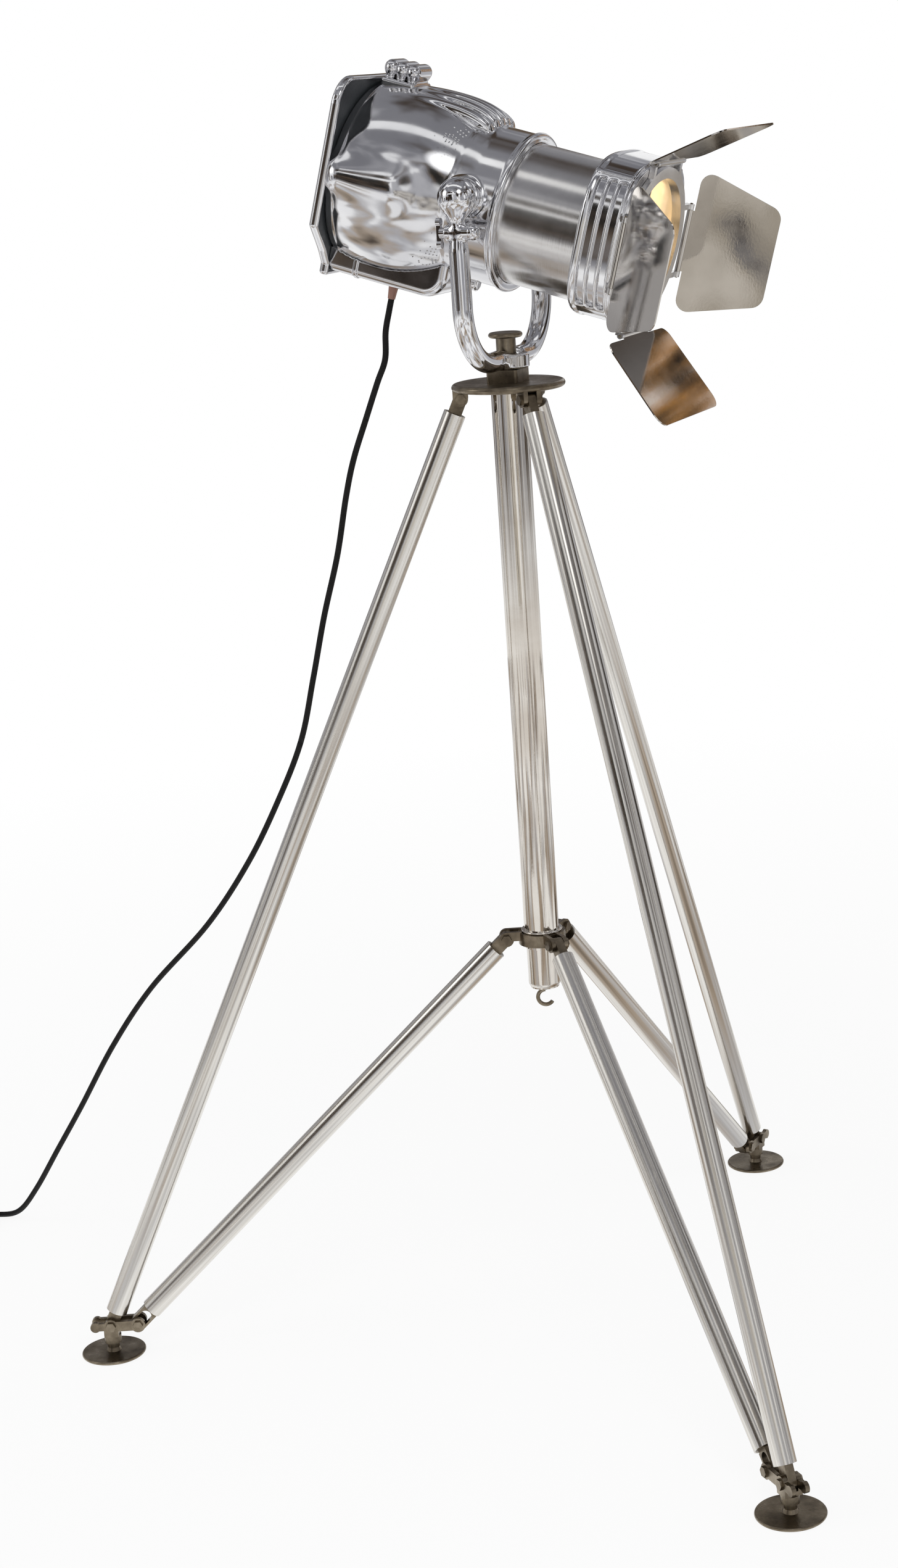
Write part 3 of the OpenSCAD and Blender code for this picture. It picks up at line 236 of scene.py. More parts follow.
def plain_surface(name, low, high, rough, scale=300, bump=0.2, **more):
    """A painted, moulded or rubber surface with fine grain."""
    n = Nodes(name)
    here = n.place()
    grain = n.noise(here, scale, 4)
    return n.set(
        Base_Color=n.ramp(n.noise(here, 24, 4), [(0.3, low), (0.7, high)]),
        Roughness=n.span(grain, rough * 0.85, rough * 1.15),
        Normal=n.bump(grain, bump, 0.0004),
        **more,
    )


def glass(name, tint, rough, **more):
    n = Nodes(name)
    here = n.place()
    return n.set(
        Base_Color=(*tint, 1),
        Roughness=n.span(n.noise(here, 60, 4), rough, rough + 0.04),
        Normal=n.bump(n.noise(here, 90, 2), 0.02, 0.001),
        **more,
    )


cast = polished_metal("cast_aluminium", (0.66, 0.66, 0.68), (0.80, 0.80, 0.81), rough=(0.08, 0.15),
                      wave=0.02)
chrome = polished_metal("polished_casting", (0.68, 0.68, 0.70), (0.82, 0.82, 0.83), rough=(0.04, 0.09))
steel = polished_metal("column_steel", (0.60, 0.55, 0.49), (0.80, 0.77, 0.72), rough=(0.04, 0.10), wave=0.004)
sheet = polished_metal("stainless_sheet", (0.52, 0.49, 0.45), (0.64, 0.61, 0.57), rough=(0.03, 0.07),
                       wave=0.008, wave_scale=7)
bronze = bronze_metal()
turned_metal = brushed_tube("turned_aluminium")
charcoal = plain_surface("charcoal_paint", (0.025, 0.028, 0.032), (0.05, 0.055, 0.06), 0.38, Metallic=0.3)
cord_black = plain_surface("cord_rubber", (0.003, 0.003, 0.003), (0.008, 0.007, 0.007), 0.55,
                           Specular_IOR_Level=0.25)
sleeve = plain_surface("gland_rubber", (0.30, 0.15, 0.11), (0.46, 0.26, 0.20), 0.35)
ceramic = plain_surface("socket_ceramic", (0.78, 0.76, 0.70), (0.86, 0.84, 0.79), 0.25)
lens_glass = glass("lens_glass", (1.0, 0.95, 0.86), 0.03, Transmission_Weight=1.0, IOR=1.5,
                   Emission_Color=(1.0, 0.70, 0.36, 1), Emission_Strength=0.4)
bulb_glass = glass("bulb_glass", (1.0, 0.80, 0.50), 0.3, Emission_Color=(1.0, 0.62, 0.25, 1),
                   Emission_Strength=6.0)


def paint(material, *names):
    for name in names:
        slots = nodes[name].data.materials
        slots.clear()
        slots.append(material)


paint(bronze, "hub_plate", "hub_pins", "weight_hook", "column_head", "pan_knob", "sliding_collar",
      "collar_pins", "hinge_pins")
paint(steel, "outer_column", "riser_tube", "riser_cap", "collar_bush")
paint(chrome, "tilt_clamp", "pivot_washers", "yoke")
paint(cast, "lamp_housing", "vent_cowl", "rear_cover", "base_skirt",
      "front_housing", "reflector", "pivot_studs")
paint(turned_metal, "lens_tube", "lens_retainer", "door_ring", "socket_bracket")
paint(sheet, "leaf_top", "leaf_bottom", "leaf_near", "leaf_far", "cover_screws")
paint(charcoal, "rear_panel")
paint(cord_black, "power_cord", "cord_coil", "mains_plug")
paint(sleeve, "cord_gland")
paint(lens_glass, "lens")
paint(bulb_glass, "bulb")
paint(ceramic, "lamp_socket")

LEG_AZIMUTHS = (204, -42, 84)
# Pins as distance from the column's axis and height, in metres
HUB_PIN = (0.054, 1.103)
FOOT_PIN = (0.534, 0.036)
COLLAR_PIN = (0.041, 0.478)
BRACE_PIN = (0.502, 0.036)


def on_leg(place, azimuth):
    """A pin's place on the leg that stands at the azimuth."""
    r, z = place
    return Vector((r * cos(radians(azimuth)), r * sin(radians(azimuth)), z))


for number, azimuth in enumerate(LEG_AZIMUTHS, 1):
    for kind, top, bottom in (("leg", HUB_PIN, FOOT_PIN), ("brace", COLLAR_PIN, BRACE_PIN)):
        name = f"{kind}_{number}"
        satin = tube_metal(f"satin_{name}", on_leg(bottom, azimuth), on_leg(top, azimuth),
                           (0.64, 0.61, 0.56), (0.84, 0.82, 0.78))
        paint(satin, name)
        paint(bronze, f"{name}_ends")
    paint(bronze, f"foot_bracket_{number}", f"foot_disc_{number}", f"foot_pins_{number}")


# ------------------------------------------------------------------ mesh helpers


def new_object(name, verts, faces, material, smooth=True):
    mesh = bpy.data.meshes.new(name)
    mesh.from_pydata([tuple(v) for v in verts], [], faces)
    mesh.validate()
    mesh.update()
    if smooth:
        mesh.shade_smooth()
    mesh.materials.append(material)
    obj = bpy.data.objects.new(name, mesh)
    bpy.context.scene.collection.objects.link(obj)
    return obj


def tube_along(name, points, radius, sides, material):
    """A closed round tube through the points, turned as little as possible from ring to ring."""
    points = [Vector(p) for p in points]
    last = len(points) - 1
    side = None
    verts, faces = [], []
    for i, point in enumerate(points):
        ahead = (points[min(i + 1, last)] - points[max(i - 1, 0)]).normalized()
        if side is None:
            side = ahead.cross(Vector((0, 1, 0))).normalized()
        side = (side - ahead * side.dot(ahead)).normalized()
        up = ahead.cross(side)
        for k in range(sides):
            a = 2 * pi * k / sides
            verts.append(point + radius * (cos(a) * side + sin(a) * up))
    for i in range(last):
        for k in range(sides):
            a, b = i * sides + k, i * sides + (k + 1) % sides
            faces.append((a, b, b + sides, a + sides))
    faces.append(tuple(reversed(range(sides))))
    faces.append(tuple(last * sides + k for k in range(sides)))
    return new_object(name, verts, faces, material)


# ------------------------------------------------------------------ cast metal, shaped as distance fields

# Fields take points in millimetres, in the head's frame (u forward, v to the left, w up from the tilt
# axis) or in the part's own frame, and are negative inside the metal

FAR = 1e3


def soft_min(a, b, k):
    """The union of two fields, with a fillet about k wide."""
    h = np.clip(0.5 + 0.5 * (b - a) / k, 0, 1)
    return b + (a - b) * h - k * h * (1 - h)


def soft_max(a, b, k):
    """What two fields share, with an edge rounded over about k."""
    return -soft_min(-a, -b, k)


def bar(p, a, b, r):
    """A round bar with domed ends."""
    a, b = np.array(a, float), np.array(b, float)
    along = np.clip((p - a) @ (b - a) / ((b - a) @ (b - a)), 0, 1)
    return np.linalg.norm(p - a - along[..., None] * (b - a), axis=-1) - r


def block(p, low, high, edge):
    """A box with edges rounded by edge."""
    low, high = np.array(low, float), np.array(high, float)
    q = np.abs(p - (low + high) / 2) - (high - low) / 2 + edge
    return np.linalg.norm(np.maximum(q, 0), axis=-1) + np.minimum(q.max(axis=-1), 0) - edge


def drum(p, axis, centre, r, half, edge):
    """A cylinder along an axis, half long to each side, with rims rounded by edge."""
    q = p - np.array(centre, float)
    others = [i for i in range(3) if i != axis]
    flat = np.hypot(q[..., others[0]], q[..., others[1]]) - r + edge
    deep = np.abs(q[..., axis]) - half + edge
    return np.hypot(np.maximum(flat, 0), np.maximum(deep, 0)) + np.minimum(np.maximum(flat, deep), 0) - edge


def flat_outline(points, v, w):
    """Distance to a closed outline of points, negative inside it."""
    best = np.full(v.shape, 1e9)
    inside = np.zeros(v.shape, bool)
    for (av, aw), (bv, bw) in zip(points, points[1:] + points[:1]):
        dv, dw = bv - av, bw - aw
        t = np.clip(((v - av) * dv + (w - aw) * dw) / (dv * dv + dw * dw), 0, 1)
        best = np.minimum(best, np.hypot(v - av - t * dv, w - aw - t * dw))
        crosses = (aw > w) != (bw > w)
        if dw:
            inside ^= crosses & (v < av + (w - aw) * dv / dw)
    return np.where(inside, -best, best)


EDGES = [(a, a | bit) for bit in (1, 2, 4) for a in range(8) if not a & bit]


def net_of(field, low, high, step):
    """Vertices and quads of the surface where field is zero, by surface nets."""
    axes = [np.arange(lo, hi + step, step) for lo, hi in zip(low, high)]
    grid = np.stack(np.meshgrid(*axes, indexing="ij"), -1)
    value = field(grid)
    shape = tuple(n - 1 for n in value.shape)

    def corner(c, of):
        return of[c & 1: shape[0] + (c & 1), c >> 1 & 1: shape[1] + (c >> 1 & 1), c >> 2: shape[2] + (c >> 2)]

    inside = value < 0
    filled = sum(corner(c, inside).astype(np.int8) for c in range(8))
    cell = np.nonzero((filled > 0) & (filled < 8))
    index = np.full(shape, -1)
    index[cell] = np.arange(len(cell[0]))
    values = [corner(c, value)[cell] for c in range(8)]
    base = np.stack(cell, -1).astype(float)
    total, hits = np.zeros_like(base), np.zeros(len(base))
    for a, b in EDGES:
        cross = (values[a] < 0) != (values[b] < 0)
        t = np.where(cross, values[a] / np.where(cross, values[a] - values[b], 1), 0)
        offset = np.array([a & 1, a >> 1 & 1, a >> 2]) + t[:, None] * np.array(
            [(b & 1) - (a & 1), (b >> 1 & 1) - (a >> 1 & 1), (b >> 2) - (a >> 2)])
        total += np.where(cross[:, None], base + offset, 0)
        hits += cross
    places = np.array(low) + total / hits[:, None] * step
    quads = []
    for axis in range(3):
        first = [slice(1, n) for n in shape]
        first[axis] = slice(0, shape[axis])
        here = tuple(first)
        ahead = tuple(slice(s.start + (i == axis), s.stop + (i == axis)) for i, s in enumerate(first))
        start, end = inside[here], inside[ahead]
        for out, reverse in ((start & ~end, False), (~start & end, True)):
            at = np.stack(np.nonzero(out), -1) + np.array([s.start for s in first])
            j, k = [i for i in range(3) if i != axis]
            around = []
            for dj, dk in ((1, 1), (0, 1), (0, 0), (1, 0)):
                spot = at.copy()
                spot[:, j] -= dj
                spot[:, k] -= dk
                around.append(index[tuple(spot.T)])
            ring = np.stack(around, -1)
            quads.append(ring[:, ::-1] if reverse != (axis == 1) else ring)
    return places, np.concatenate(quads)


def slope_of(field, places, reach):
    """The field's slope at the places, from differences over reach."""
    return np.stack([
        field(places + reach * np.eye(3)[i]) - field(places - reach * np.eye(3)[i]) for i in range(3)
    ], -1) / (2 * reach)


def settle(field, places, step):
    """Moves vertices onto the surface along its slope."""
    for _ in range(4):
        value = field(places)
        slope = slope_of(field, places, 0.02 * step)
        size = np.maximum((slope ** 2).sum(-1), 0.05)
        move = slope * (value / size)[:, None]
        length = np.linalg.norm(move, axis=-1, keepdims=True)
        places = places - move * np.minimum(1, 0.5 * step / np.maximum(length, 1e-9))
    return places


def cast_piece(name, field, low, high, step, material, body, replaced, frame_of=HEAD):
    """One piece of cast or pressed metal, from its field, that stands for CAD nodes."""
    places, quads = net_of(field, low, high, step)
    places = settle(field, places, step)
    mesh = bpy.data.meshes.new(name)
    mesh.from_pydata((places * MM).tolist(), [], quads.tolist())
    mesh.transform(frame_of)
    mesh.update()
    mesh.shade_smooth()
    normals = slope_of(field, places, 0.4 * step) @ np.array(frame_of.to_3x3()).T
    size = np.linalg.norm(normals, axis=-1, keepdims=True)
    mesh.normals_split_custom_set_from_vertices((normals / np.maximum(size, 1e-6)).tolist())
    mesh.materials.append(material)
    obj = bpy.data.objects.new(name, mesh)
    bpy.context.scene.collection.objects.link(obj)
    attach(obj, body)
    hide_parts(*replaced)


# ------------------------------------------------------------------ lamp housing

# Sizes in millimetres, as in the part's source
DROP = 15
DOME_R, DOME_MID_U, DOME_REAR_U, DOME_NECK_U = 107, -100, -157, -6
TUBE_R, NECK_R, NECK_START_U, NECK_U = 78, 86, -14, 40
DOME_REAR_FALL = 8
DOME_NECK_SINK = 4
SHELL = 3
BORE_GAP = 0.1
BORE_REAR_U = -20
BALL_V, BALL_R = 103, 22
BOSS_V, BOSS_HALF = 88.2, 12
RIM_FRONT_U = -154
RIM_BAND_U, RIM_BAND_H, RIM_BAND_SLOPE = -146, 1.0, 0.7
BEAD_R, BEAD_SINK, BEAD_BACK = 3.4, 0.5, 3
BLISTER_REAR = (-140, DOME_R - 13, -11)
BLISTER_FRONT = (-82, DOME_R - 20, -11)
BLISTER_R = 20
FIN_REAR_U, FIN_PEAK_U, FIN_FRONT_U = -97, -77, -5
FIN_RISE = 1.5
FIN_PEAK_R = DOME_R + FIN_RISE
FIN_FOOT_R = NECK_R + 1
FIN_POWER = 2.4
FIN_PITCH, FIN_W, FIN_COUNT = 19, 13, 5
FIN_SWELL = 0.6
WEB_DEPTH, WEB_SIDE, WEB_FRONT = 5.5, 3, 14


def axis_distance(p):
    return np.hypot(p[..., 1], p[..., 2] + DROP)


def dome_radius(u):
    rear = DOME_R - DOME_REAR_FALL * ((u - DOME_MID_U) / (DOME_REAR_U - DOME_MID_U)) ** 2
    run = (u - DOME_MID_U) / (DOME_NECK_U - DOME_MID_U)
    front = DOME_R - (DOME_R - NECK_R + DOME_NECK_SINK) * run ** 2
    return np.where(u < DOME_MID_U, rear, front)


def fins(p):
    """The lengthwise fins over the dome's top front, with thin webs between them."""
    u, r = p[..., 0], axis_distance(p)
    rear = FIN_PEAK_R - FIN_RISE * ((FIN_PEAK_U - u) / (FIN_PEAK_U - FIN_REAR_U)) ** 2
    run = np.clip((u - FIN_PEAK_U) / (FIN_FRONT_U - FIN_PEAK_U), 0, 1)
    front = FIN_FOOT_R + (FIN_PEAK_R - FIN_FOOT_R) * np.sqrt(1 - run ** FIN_POWER)
    crest = np.where(u < FIN_PEAK_U, rear, front)
    across = np.arctan2(p[..., 1], p[..., 2] + DROP) * FIN_PEAK_R
    half = (FIN_COUNT - 1) / 2
    place = across - FIN_PITCH * np.clip(np.round(across / FIN_PITCH), -half, half)
    fin = soft_max(soft_max(r - crest, np.abs(place) - FIN_W / 2 - FIN_SWELL, 7), u - FIN_FRONT_U, 5)
    web = soft_max(r - crest + WEB_DEPTH, np.abs(across) - half * FIN_PITCH - WEB_SIDE, 3)
    web = soft_max(web, u - FIN_FRONT_U + WEB_FRONT, 4)
    return np.minimum(fin, web)


def housing(p):
    """The dome with its neck, bead, fins, side blisters and pivot bosses, hollow and open at the rear."""
    u, v, r = p[..., 0], p[..., 1], axis_distance(p)
    radius = dome_radius(u)
    rim_band = RIM_BAND_H / (1 + np.exp(np.clip((u - RIM_BAND_U) / RIM_BAND_SLOPE, -30, 30)))
    dome = soft_max(soft_max(r - radius - rim_band, u - DOME_NECK_U, 8), DOME_REAR_U - u, 4)
    neck = soft_max(r - NECK_R, np.abs(u - (NECK_START_U + NECK_U) / 2) - (NECK_U - NECK_START_U) / 2, 2)
    body = soft_min(dome, neck, 11)
    body = soft_min(body, np.hypot(r - NECK_R + BEAD_SINK, u - NECK_U + BEAD_BACK) - BEAD_R, 3)
    body = soft_min(body, fins(p), 3)
    mirrored = np.stack([u, np.abs(v), p[..., 2]], -1)
    blister = bar(mirrored, BLISTER_REAR, BLISTER_FRONT, BLISTER_R)
    blister = soft_max(blister, RIM_FRONT_U + 0.4 - u, 3)
    body = soft_min(body, blister, 16)
    body = soft_min(body, drum(mirrored, 1, (0, BOSS_V - BOSS_HALF, 0), BALL_R - 3, BOSS_HALF, 1), 5)
    hollow = np.minimum(np.maximum(r - radius + SHELL, u - DOME_NECK_U),
                        np.maximum(r - TUBE_R - BORE_GAP, BORE_REAR_U - u))
    body = soft_max(body, -hollow, 1)
    return soft_max(body, -drum(mirrored, 1, (0, BOSS_V + BALL_R, 0), BALL_R + 3, BALL_R, 1), 1)


cast_piece("lamp_housing_casting", housing, (-160, -119, -127), (44, 119, 97), 1.8, cast, "head",
           ["lamp_housing"])

# ------------------------------------------------------------------ vent cowl

COWL_REAR_U, COWL_PITCH, COWL_LOBES = -144, 13.5, 3
LOBE_R, LOBE_HALF_V, LOBE_W = 8.4, 13, 104.5
WAIST_HALF_U, WAIST_HALF_V, WAIST_TOP_W = 4.6, 17.5, 104
COWL_LOW_W = 80


def cowl(p):
    """The vent on top of the dome: rounded lobes on narrow waists over one foot."""
    lobes = None
    for i in range(COWL_LOBES):
        u = COWL_REAR_U + COWL_PITCH * i
        top = bar(p, (u, -LOBE_HALF_V, LOBE_W), (u, LOBE_HALF_V, LOBE_W), LOBE_R)
        waist = block(p, (u - WAIST_HALF_U, -WAIST_HALF_V, COWL_LOW_W),
                      (u + WAIST_HALF_U, WAIST_HALF_V, WAIST_TOP_W), 4)
        lobe = soft_min(top, waist, 6)
        lobes = lobe if lobes is None else soft_min(lobes, lobe, 0.6)
    foot = block(p, (-151, -24, COWL_LOW_W), (-110, 24, 93), 4)
    lobes = soft_min(lobes, foot, 3)
    return soft_max(lobes, -(axis_distance(p) - dome_radius(p[..., 0]) + 1), 0.5)


cast_piece("vent_cowl_casting", cowl, (-155, -28, 78), (-105, 28, 116), 1.2, cast, "head",
           ["vent_cowl"])

# ------------------------------------------------------------------ rear cover and skirt

COVER_HALF_W, COVER_TOP_W, COVER_LOW_W = 109, 93, -130
SKIRT_HALF_W = 59
RIM_T = 4
COVER_FACE_U = -161
COVER_REAR_U = -165
COVER_CORNER = 26
COVER_EDGE = 4
COVER_BEVEL_W = (-70, -99)
COVER_BEVEL_V = 31
COVER_FOOT_H = 10
SKIRT_GAP = 0.3


def cover_points(inset):
    """The cover's outline, drawn in by inset: rounded at the top, bevelled down to the skirt."""
    half, top, low = COVER_HALF_W - inset, COVER_TOP_W - inset, COVER_LOW_W + inset
    foot = SKIRT_HALF_W + SKIRT_GAP + RIM_T - inset
    points = []
    for side, angles in ((1, range(0, 91, 10)), (-1, range(90, 181, 10))):
        for a in angles:
            points.append((side * (half - COVER_CORNER) + COVER_CORNER * cos(radians(a)),
                           top - COVER_CORNER + COVER_CORNER * sin(radians(a))))
    bevel_top, bevel_low = COVER_BEVEL_W
    foot_top = low + COVER_FOOT_H
    return points + [(-half, bevel_top), (-half + COVER_BEVEL_V, bevel_low), (-foot, foot_top), (-foot, low),
                     (foot, low), (foot, foot_top), (half - COVER_BEVEL_V, bevel_low), (half, bevel_top)]


def rear_cover(p):
    """The lid behind the dome, with a raised rim round its front."""
    u = p[..., 0]
    edge = flat_outline(cover_points(COVER_EDGE), p[..., 1], p[..., 2]) - COVER_EDGE
    middle, half = (COVER_REAR_U + RIM_FRONT_U) / 2, (RIM_FRONT_U - COVER_REAR_U) / 2
    outer = soft_max(edge, np.abs(u - middle) - half, 5)
    pocket = soft_max(edge + RIM_T, COVER_FACE_U - u, 1)
    return soft_max(outer, -pocket, 1.2)


cast_piece("rear_cover_pressing", rear_cover, (-168, -112, -133), (-151, 112, 96), 1.8, cast, "head",
           ["rear_cover"])


SKIRT_FRONT_U, SKIRT_LOW_W, SKIRT_TOP_W = -15, -124, -50
SKIRT_CORNER, SKIRT_EDGE = 26, 9
POST_U, POST_HALF, POST_H = -123, 2.5, 1.4
SKIRT_BOSS, SKIRT_BOSS_R, SKIRT_BOSS_HALF = (-9, 0, -105), 8.5, 10


def skirt(p):
    """The compartment under the dome, with its seam post and front boss."""
    u, v, w = p[..., 0], p[..., 1], p[..., 2]
    corner, edge = SKIRT_CORNER, SKIRT_EDGE
    qu, qw = u - SKIRT_FRONT_U + corner, SKIRT_LOW_W - w + corner
    profile = np.hypot(np.maximum(qu, 0), np.maximum(qw, 0)) + np.minimum(np.maximum(qu, qw), 0) - corner
    side = np.abs(v) - SKIRT_HALF_W
    a, b = profile + edge, side + edge
    body = np.hypot(np.maximum(a, 0), np.maximum(b, 0)) + np.minimum(np.maximum(a, b), 0) - edge
    body = soft_max(body, DOME_REAR_U - u, 1)
    post = np.maximum(body - POST_H, np.abs(u - POST_U) - POST_HALF)
    body = soft_min(body, post, 0.8)
    body = soft_min(body, drum(p, 0, SKIRT_BOSS, SKIRT_BOSS_R, SKIRT_BOSS_HALF, 3), 4)
    r = axis_distance(p)
    body = soft_max(body, -(r - dome_radius(u) - 0.2), 1.5)
    body = np.maximum(body, -np.maximum(r - NECK_R - BORE_GAP, NECK_START_U - u))
    return np.maximum(body, w - SKIRT_TOP_W)


cast_piece("base_skirt_casting", skirt, (-160, -64, -128), (6, 64, -48), 1.6, cast, "head",
           ["base_skirt"])

# ------------------------------------------------------------------ front housing

FRONT_U, FRONT_END_U = 135, 184
FRONT_HALF_W, FRONT_HALF_H, FRONT_CENTRE_W = 95, 90, -10
FRONT_POWER = 3.2
FRONT_FLANGE_END_U, FRONT_WALL_U = 145.3, 181
GROOVES = (149.3, 161.4, 173.4)
GROOVE_HALF, GROOVE_INSET = 4, 5.5
GROOVE_LOW_W, GROOVE_TOP_W = -80, 57
SIDE_BAR_W, SIDE_BAR_HALF = 63.5, 1.5
CAVITY_REAR_U, CAVITY_INSET = 139, 8.5
LENS_SEAT_U, LENS_SEAT_GAP = 150, 2.1


def front_outline(p, inset):
    """A rounded square round the optical axis, drawn in by inset."""
    v, w = np.abs(p[..., 1]), np.abs(p[..., 2] - FRONT_CENTRE_W)
    shape = (v / (FRONT_HALF_W - inset)) ** FRONT_POWER + (w / (FRONT_HALF_H - inset)) ** FRONT_POWER
    return (np.maximum(shape, 1e-9) ** (1 / FRONT_POWER) - 1) * (FRONT_HALF_H - inset)


def front_housing(p):
    """The box at the front: flange, grooved sides with a flat bar above, hollow and bored for the tube."""
    u, w, r = p[..., 0], p[..., 2], axis_distance(p)

    def slab(inset, start, end, edge):
        return soft_max(front_outline(p, inset), np.abs(u - (start + end) / 2) - (end - start) / 2, edge)

    flange = slab(0, FRONT_U, FRONT_FLANGE_END_U, 7)
    body = soft_min(flange, slab(1.5, FRONT_U + 2, FRONT_WALL_U, 3), 1.5)
    body = soft_min(body, slab(5, 176, FRONT_END_U, 2), 1)
    side_bar = np.maximum(np.abs(w - SIDE_BAR_W) - SIDE_BAR_HALF, slab(0, FRONT_U + 2, FRONT_WALL_U, 3))
    body = soft_min(body, side_bar, 1)
    groove = None
    for middle in GROOVES:
        cut = np.maximum(np.abs(u - middle) - GROOVE_HALF, -front_outline(p, GROOVE_INSET))
        groove = cut if groove is None else np.minimum(groove, cut)
    groove = soft_max(groove, soft_max(w - GROOVE_TOP_W, GROOVE_LOW_W - w, 2), 4)
    body = soft_max(body, -groove, 2.2)
    cavity = np.maximum(front_outline(p, CAVITY_INSET), np.maximum(CAVITY_REAR_U - u, u - FRONT_WALL_U))
    bore = np.minimum(np.maximum(r - TUBE_R - BORE_GAP, u - LENS_SEAT_U),
                      np.maximum(r - TUBE_R - LENS_SEAT_GAP, LENS_SEAT_U - u))
    return soft_max(soft_max(body, -cavity, 0.5), -bore, 0.8)


cast_piece("front_housing_casting", front_housing, (132, -98, -103), (187, 98, 83), 1.5, cast, "head",
           ["front_housing"])

# ------------------------------------------------------------------ yoke

PIVOT_Z, ARM_Y, BAR_R, BEND_R = 1328, 108, 11, 66
BASE_LOW, BASE_H, BASE_R = 1133.3, 17, 25
CLAMP_Z = PIVOT_Z - 37
TAPER_BELOW, TAPER_LEN, TAPER_DEPTH = 22, 24, 3
BALL_INNER_V = 92
LUG_R, LUG_HALF, LUG_END_X, LUG_END_R = 8.6, 15.5, 17, 9
SPIGOT_BORE_R, BASE_RECESS_R = 8.1, 19.6
STUD_BORE_R, STUD_DEPTH = 6.1, 13.3


def yoke(p):
    """The round-bar U with tapered arms, pivot balls, base boss and clamp lug, in the part's own frame."""
    x, y, z = p[..., 0], np.abs(p[..., 1]), p[..., 2]
    m = np.stack([x, y, z], -1)
    bend_y, bend_z, bar_z = ARM_Y - BEND_R, BASE_LOW + BAR_R + BEND_R, BASE_LOW + BAR_R
    level = np.maximum(np.hypot(x, z - bar_z) - BAR_R, y - bend_y)
    bend = np.hypot(x, np.hypot(y - bend_y, z - bend_z) - BEND_R) - BAR_R
    bend = np.where((y >= bend_y) & (z <= bend_z), bend, FAR)
    taper = np.clip((z - CLAMP_Z + TAPER_BELOW) / TAPER_LEN, 0, 1)
    rising = np.hypot(x, y - ARM_Y) - BAR_R + TAPER_DEPTH * taper ** 2 * (3 - 2 * taper)
    rising = np.where(z > bend_z, np.maximum(rising, z - PIVOT_Z), FAR)
    arm = np.minimum(np.minimum(level, bend), rising)
    ball = soft_max(np.linalg.norm(m - np.array([0, BALL_V, PIVOT_Z]), axis=-1) - BALL_R, BALL_INNER_V - y, 2)
    ball = soft_min(ball, drum(m, 1, (0, BALL_V - 6, PIVOT_Z), BALL_R - 4, 6, 1), 1)
    body = soft_min(arm, ball, 9)
    body = soft_min(body, drum(p, 2, (0, 0, BASE_LOW + BASE_H / 2), BASE_R, BASE_H / 2, 3), 8)
    lug = np.minimum(drum(p, 0, (LUG_END_X - LUG_HALF, -ARM_Y, CLAMP_Z), LUG_R, LUG_HALF, 2),
                     np.linalg.norm(p - np.array([LUG_END_X, -ARM_Y, CLAMP_Z]), axis=-1) - LUG_END_R)
    body = soft_min(body, lug, 4)
    body = soft_max(body, BASE_LOW - z, 1)
    spigot = np.hypot(x, p[..., 1])
    body = soft_max(body, -(spigot - SPIGOT_BORE_R), 0.5)
    body = soft_max(body, -np.maximum(spigot - BASE_RECESS_R, BASE_LOW + BASE_H - z), 1)
    stud = np.maximum(np.hypot(x, z - PIVOT_Z) - STUD_BORE_R, y - (BALL_V + STUD_DEPTH))
    return soft_max(body, -stud, 0.5)


cast_piece("yoke_casting", yoke, (-29, -128, 1130), (29, 128, 1353), 1.5, chrome, "yoke",
           ["yoke"], Matrix.Identity(4))

# ------------------------------------------------------------------ power cord

GLAND_U = -0.100
SKIRT_BOTTOM_W = -0.124
GLAND_LEN = 0.024
cord_start = HEAD @ Vector((GLAND_U, 0, SKIRT_BOTTOM_W - GLAND_LEN))
cord_drop = (HEAD.to_3x3() @ Vector((0, 0, -1))).normalized()

# The hanging stretch after it has left the gland, in millimetres, as in the part's source
HANG_POINTS = [
    (-147, 0, 1176), (-151, 2, 1145), (-164, 4, 1118), (-182, 6, 1078), (-203, 8, 1030), (-218, 11, 985),
    (-236, 14, 917), (-261, 17, 843), (-283, 20, 768), (-308, 24, 690), (-349, 29, 612), (-401, 37, 531),
    (-470, 46, 446), (-566, 59, 354), (-635, 68, 270), (-698, 77, 178), (-745, 84, 112), (-788, 91, 52),
    (-822, 96, 15), (-858, 101, 3.5),
]
CURVE_STEPS = 12   # points from one knot of the hanging stretch to the next
TILT_KNOT, PAN_KNOT = 5, 11   # knots where the cord leaves what tilts and what pans
COIL_CENTRE = Vector((-0.900, 0.055, 0))
COIL_R = 0.052
COIL_PITCH = CORD_D + 0.0006
COIL_START = 82
COIL_END = 180 + 360 * 6
COIL_LAYER_TURNS = (COIL_END - COIL_START - 180) / 720
COIL_STEP = 5
TAIL_LEN = 0.042


def coil_at(a):
    """The coil's point at angle a: turns inward on the floor, then outward on top of them."""
    inward = 360 * COIL_LAYER_TURNS
    t = a - COIL_START
    r = COIL_R - COIL_PITCH * COIL_LAYER_TURNS + COIL_PITCH * (abs(t - inward - 90) - 90) / 360
    climb = min(max((t - inward) / 180, 0), 1)
    z = FLOOR_Z + COIL_PITCH * (1 - cos(pi * climb)) / 2
    return COIL_CENTRE + Vector((r * cos(radians(a)), r * sin(radians(a)), z))


def curve_through(points, steps):
    """A Catmull-Rom curve through the points."""
    last = len(points) - 1
    out = []
    for i in range(last):
        a, b, c, d = points[max(i - 1, 0)], points[i], points[i + 1], points[min(i + 2, last)]
        for k in range(steps):
            t = k / steps
            out.append(0.5 * (2 * b + (c - a) * t + (2 * a - 5 * b + 4 * c - d) * t * t
                              + (3 * b - a - 3 * c + d) * t * t * t))
    return out + [points[last]]


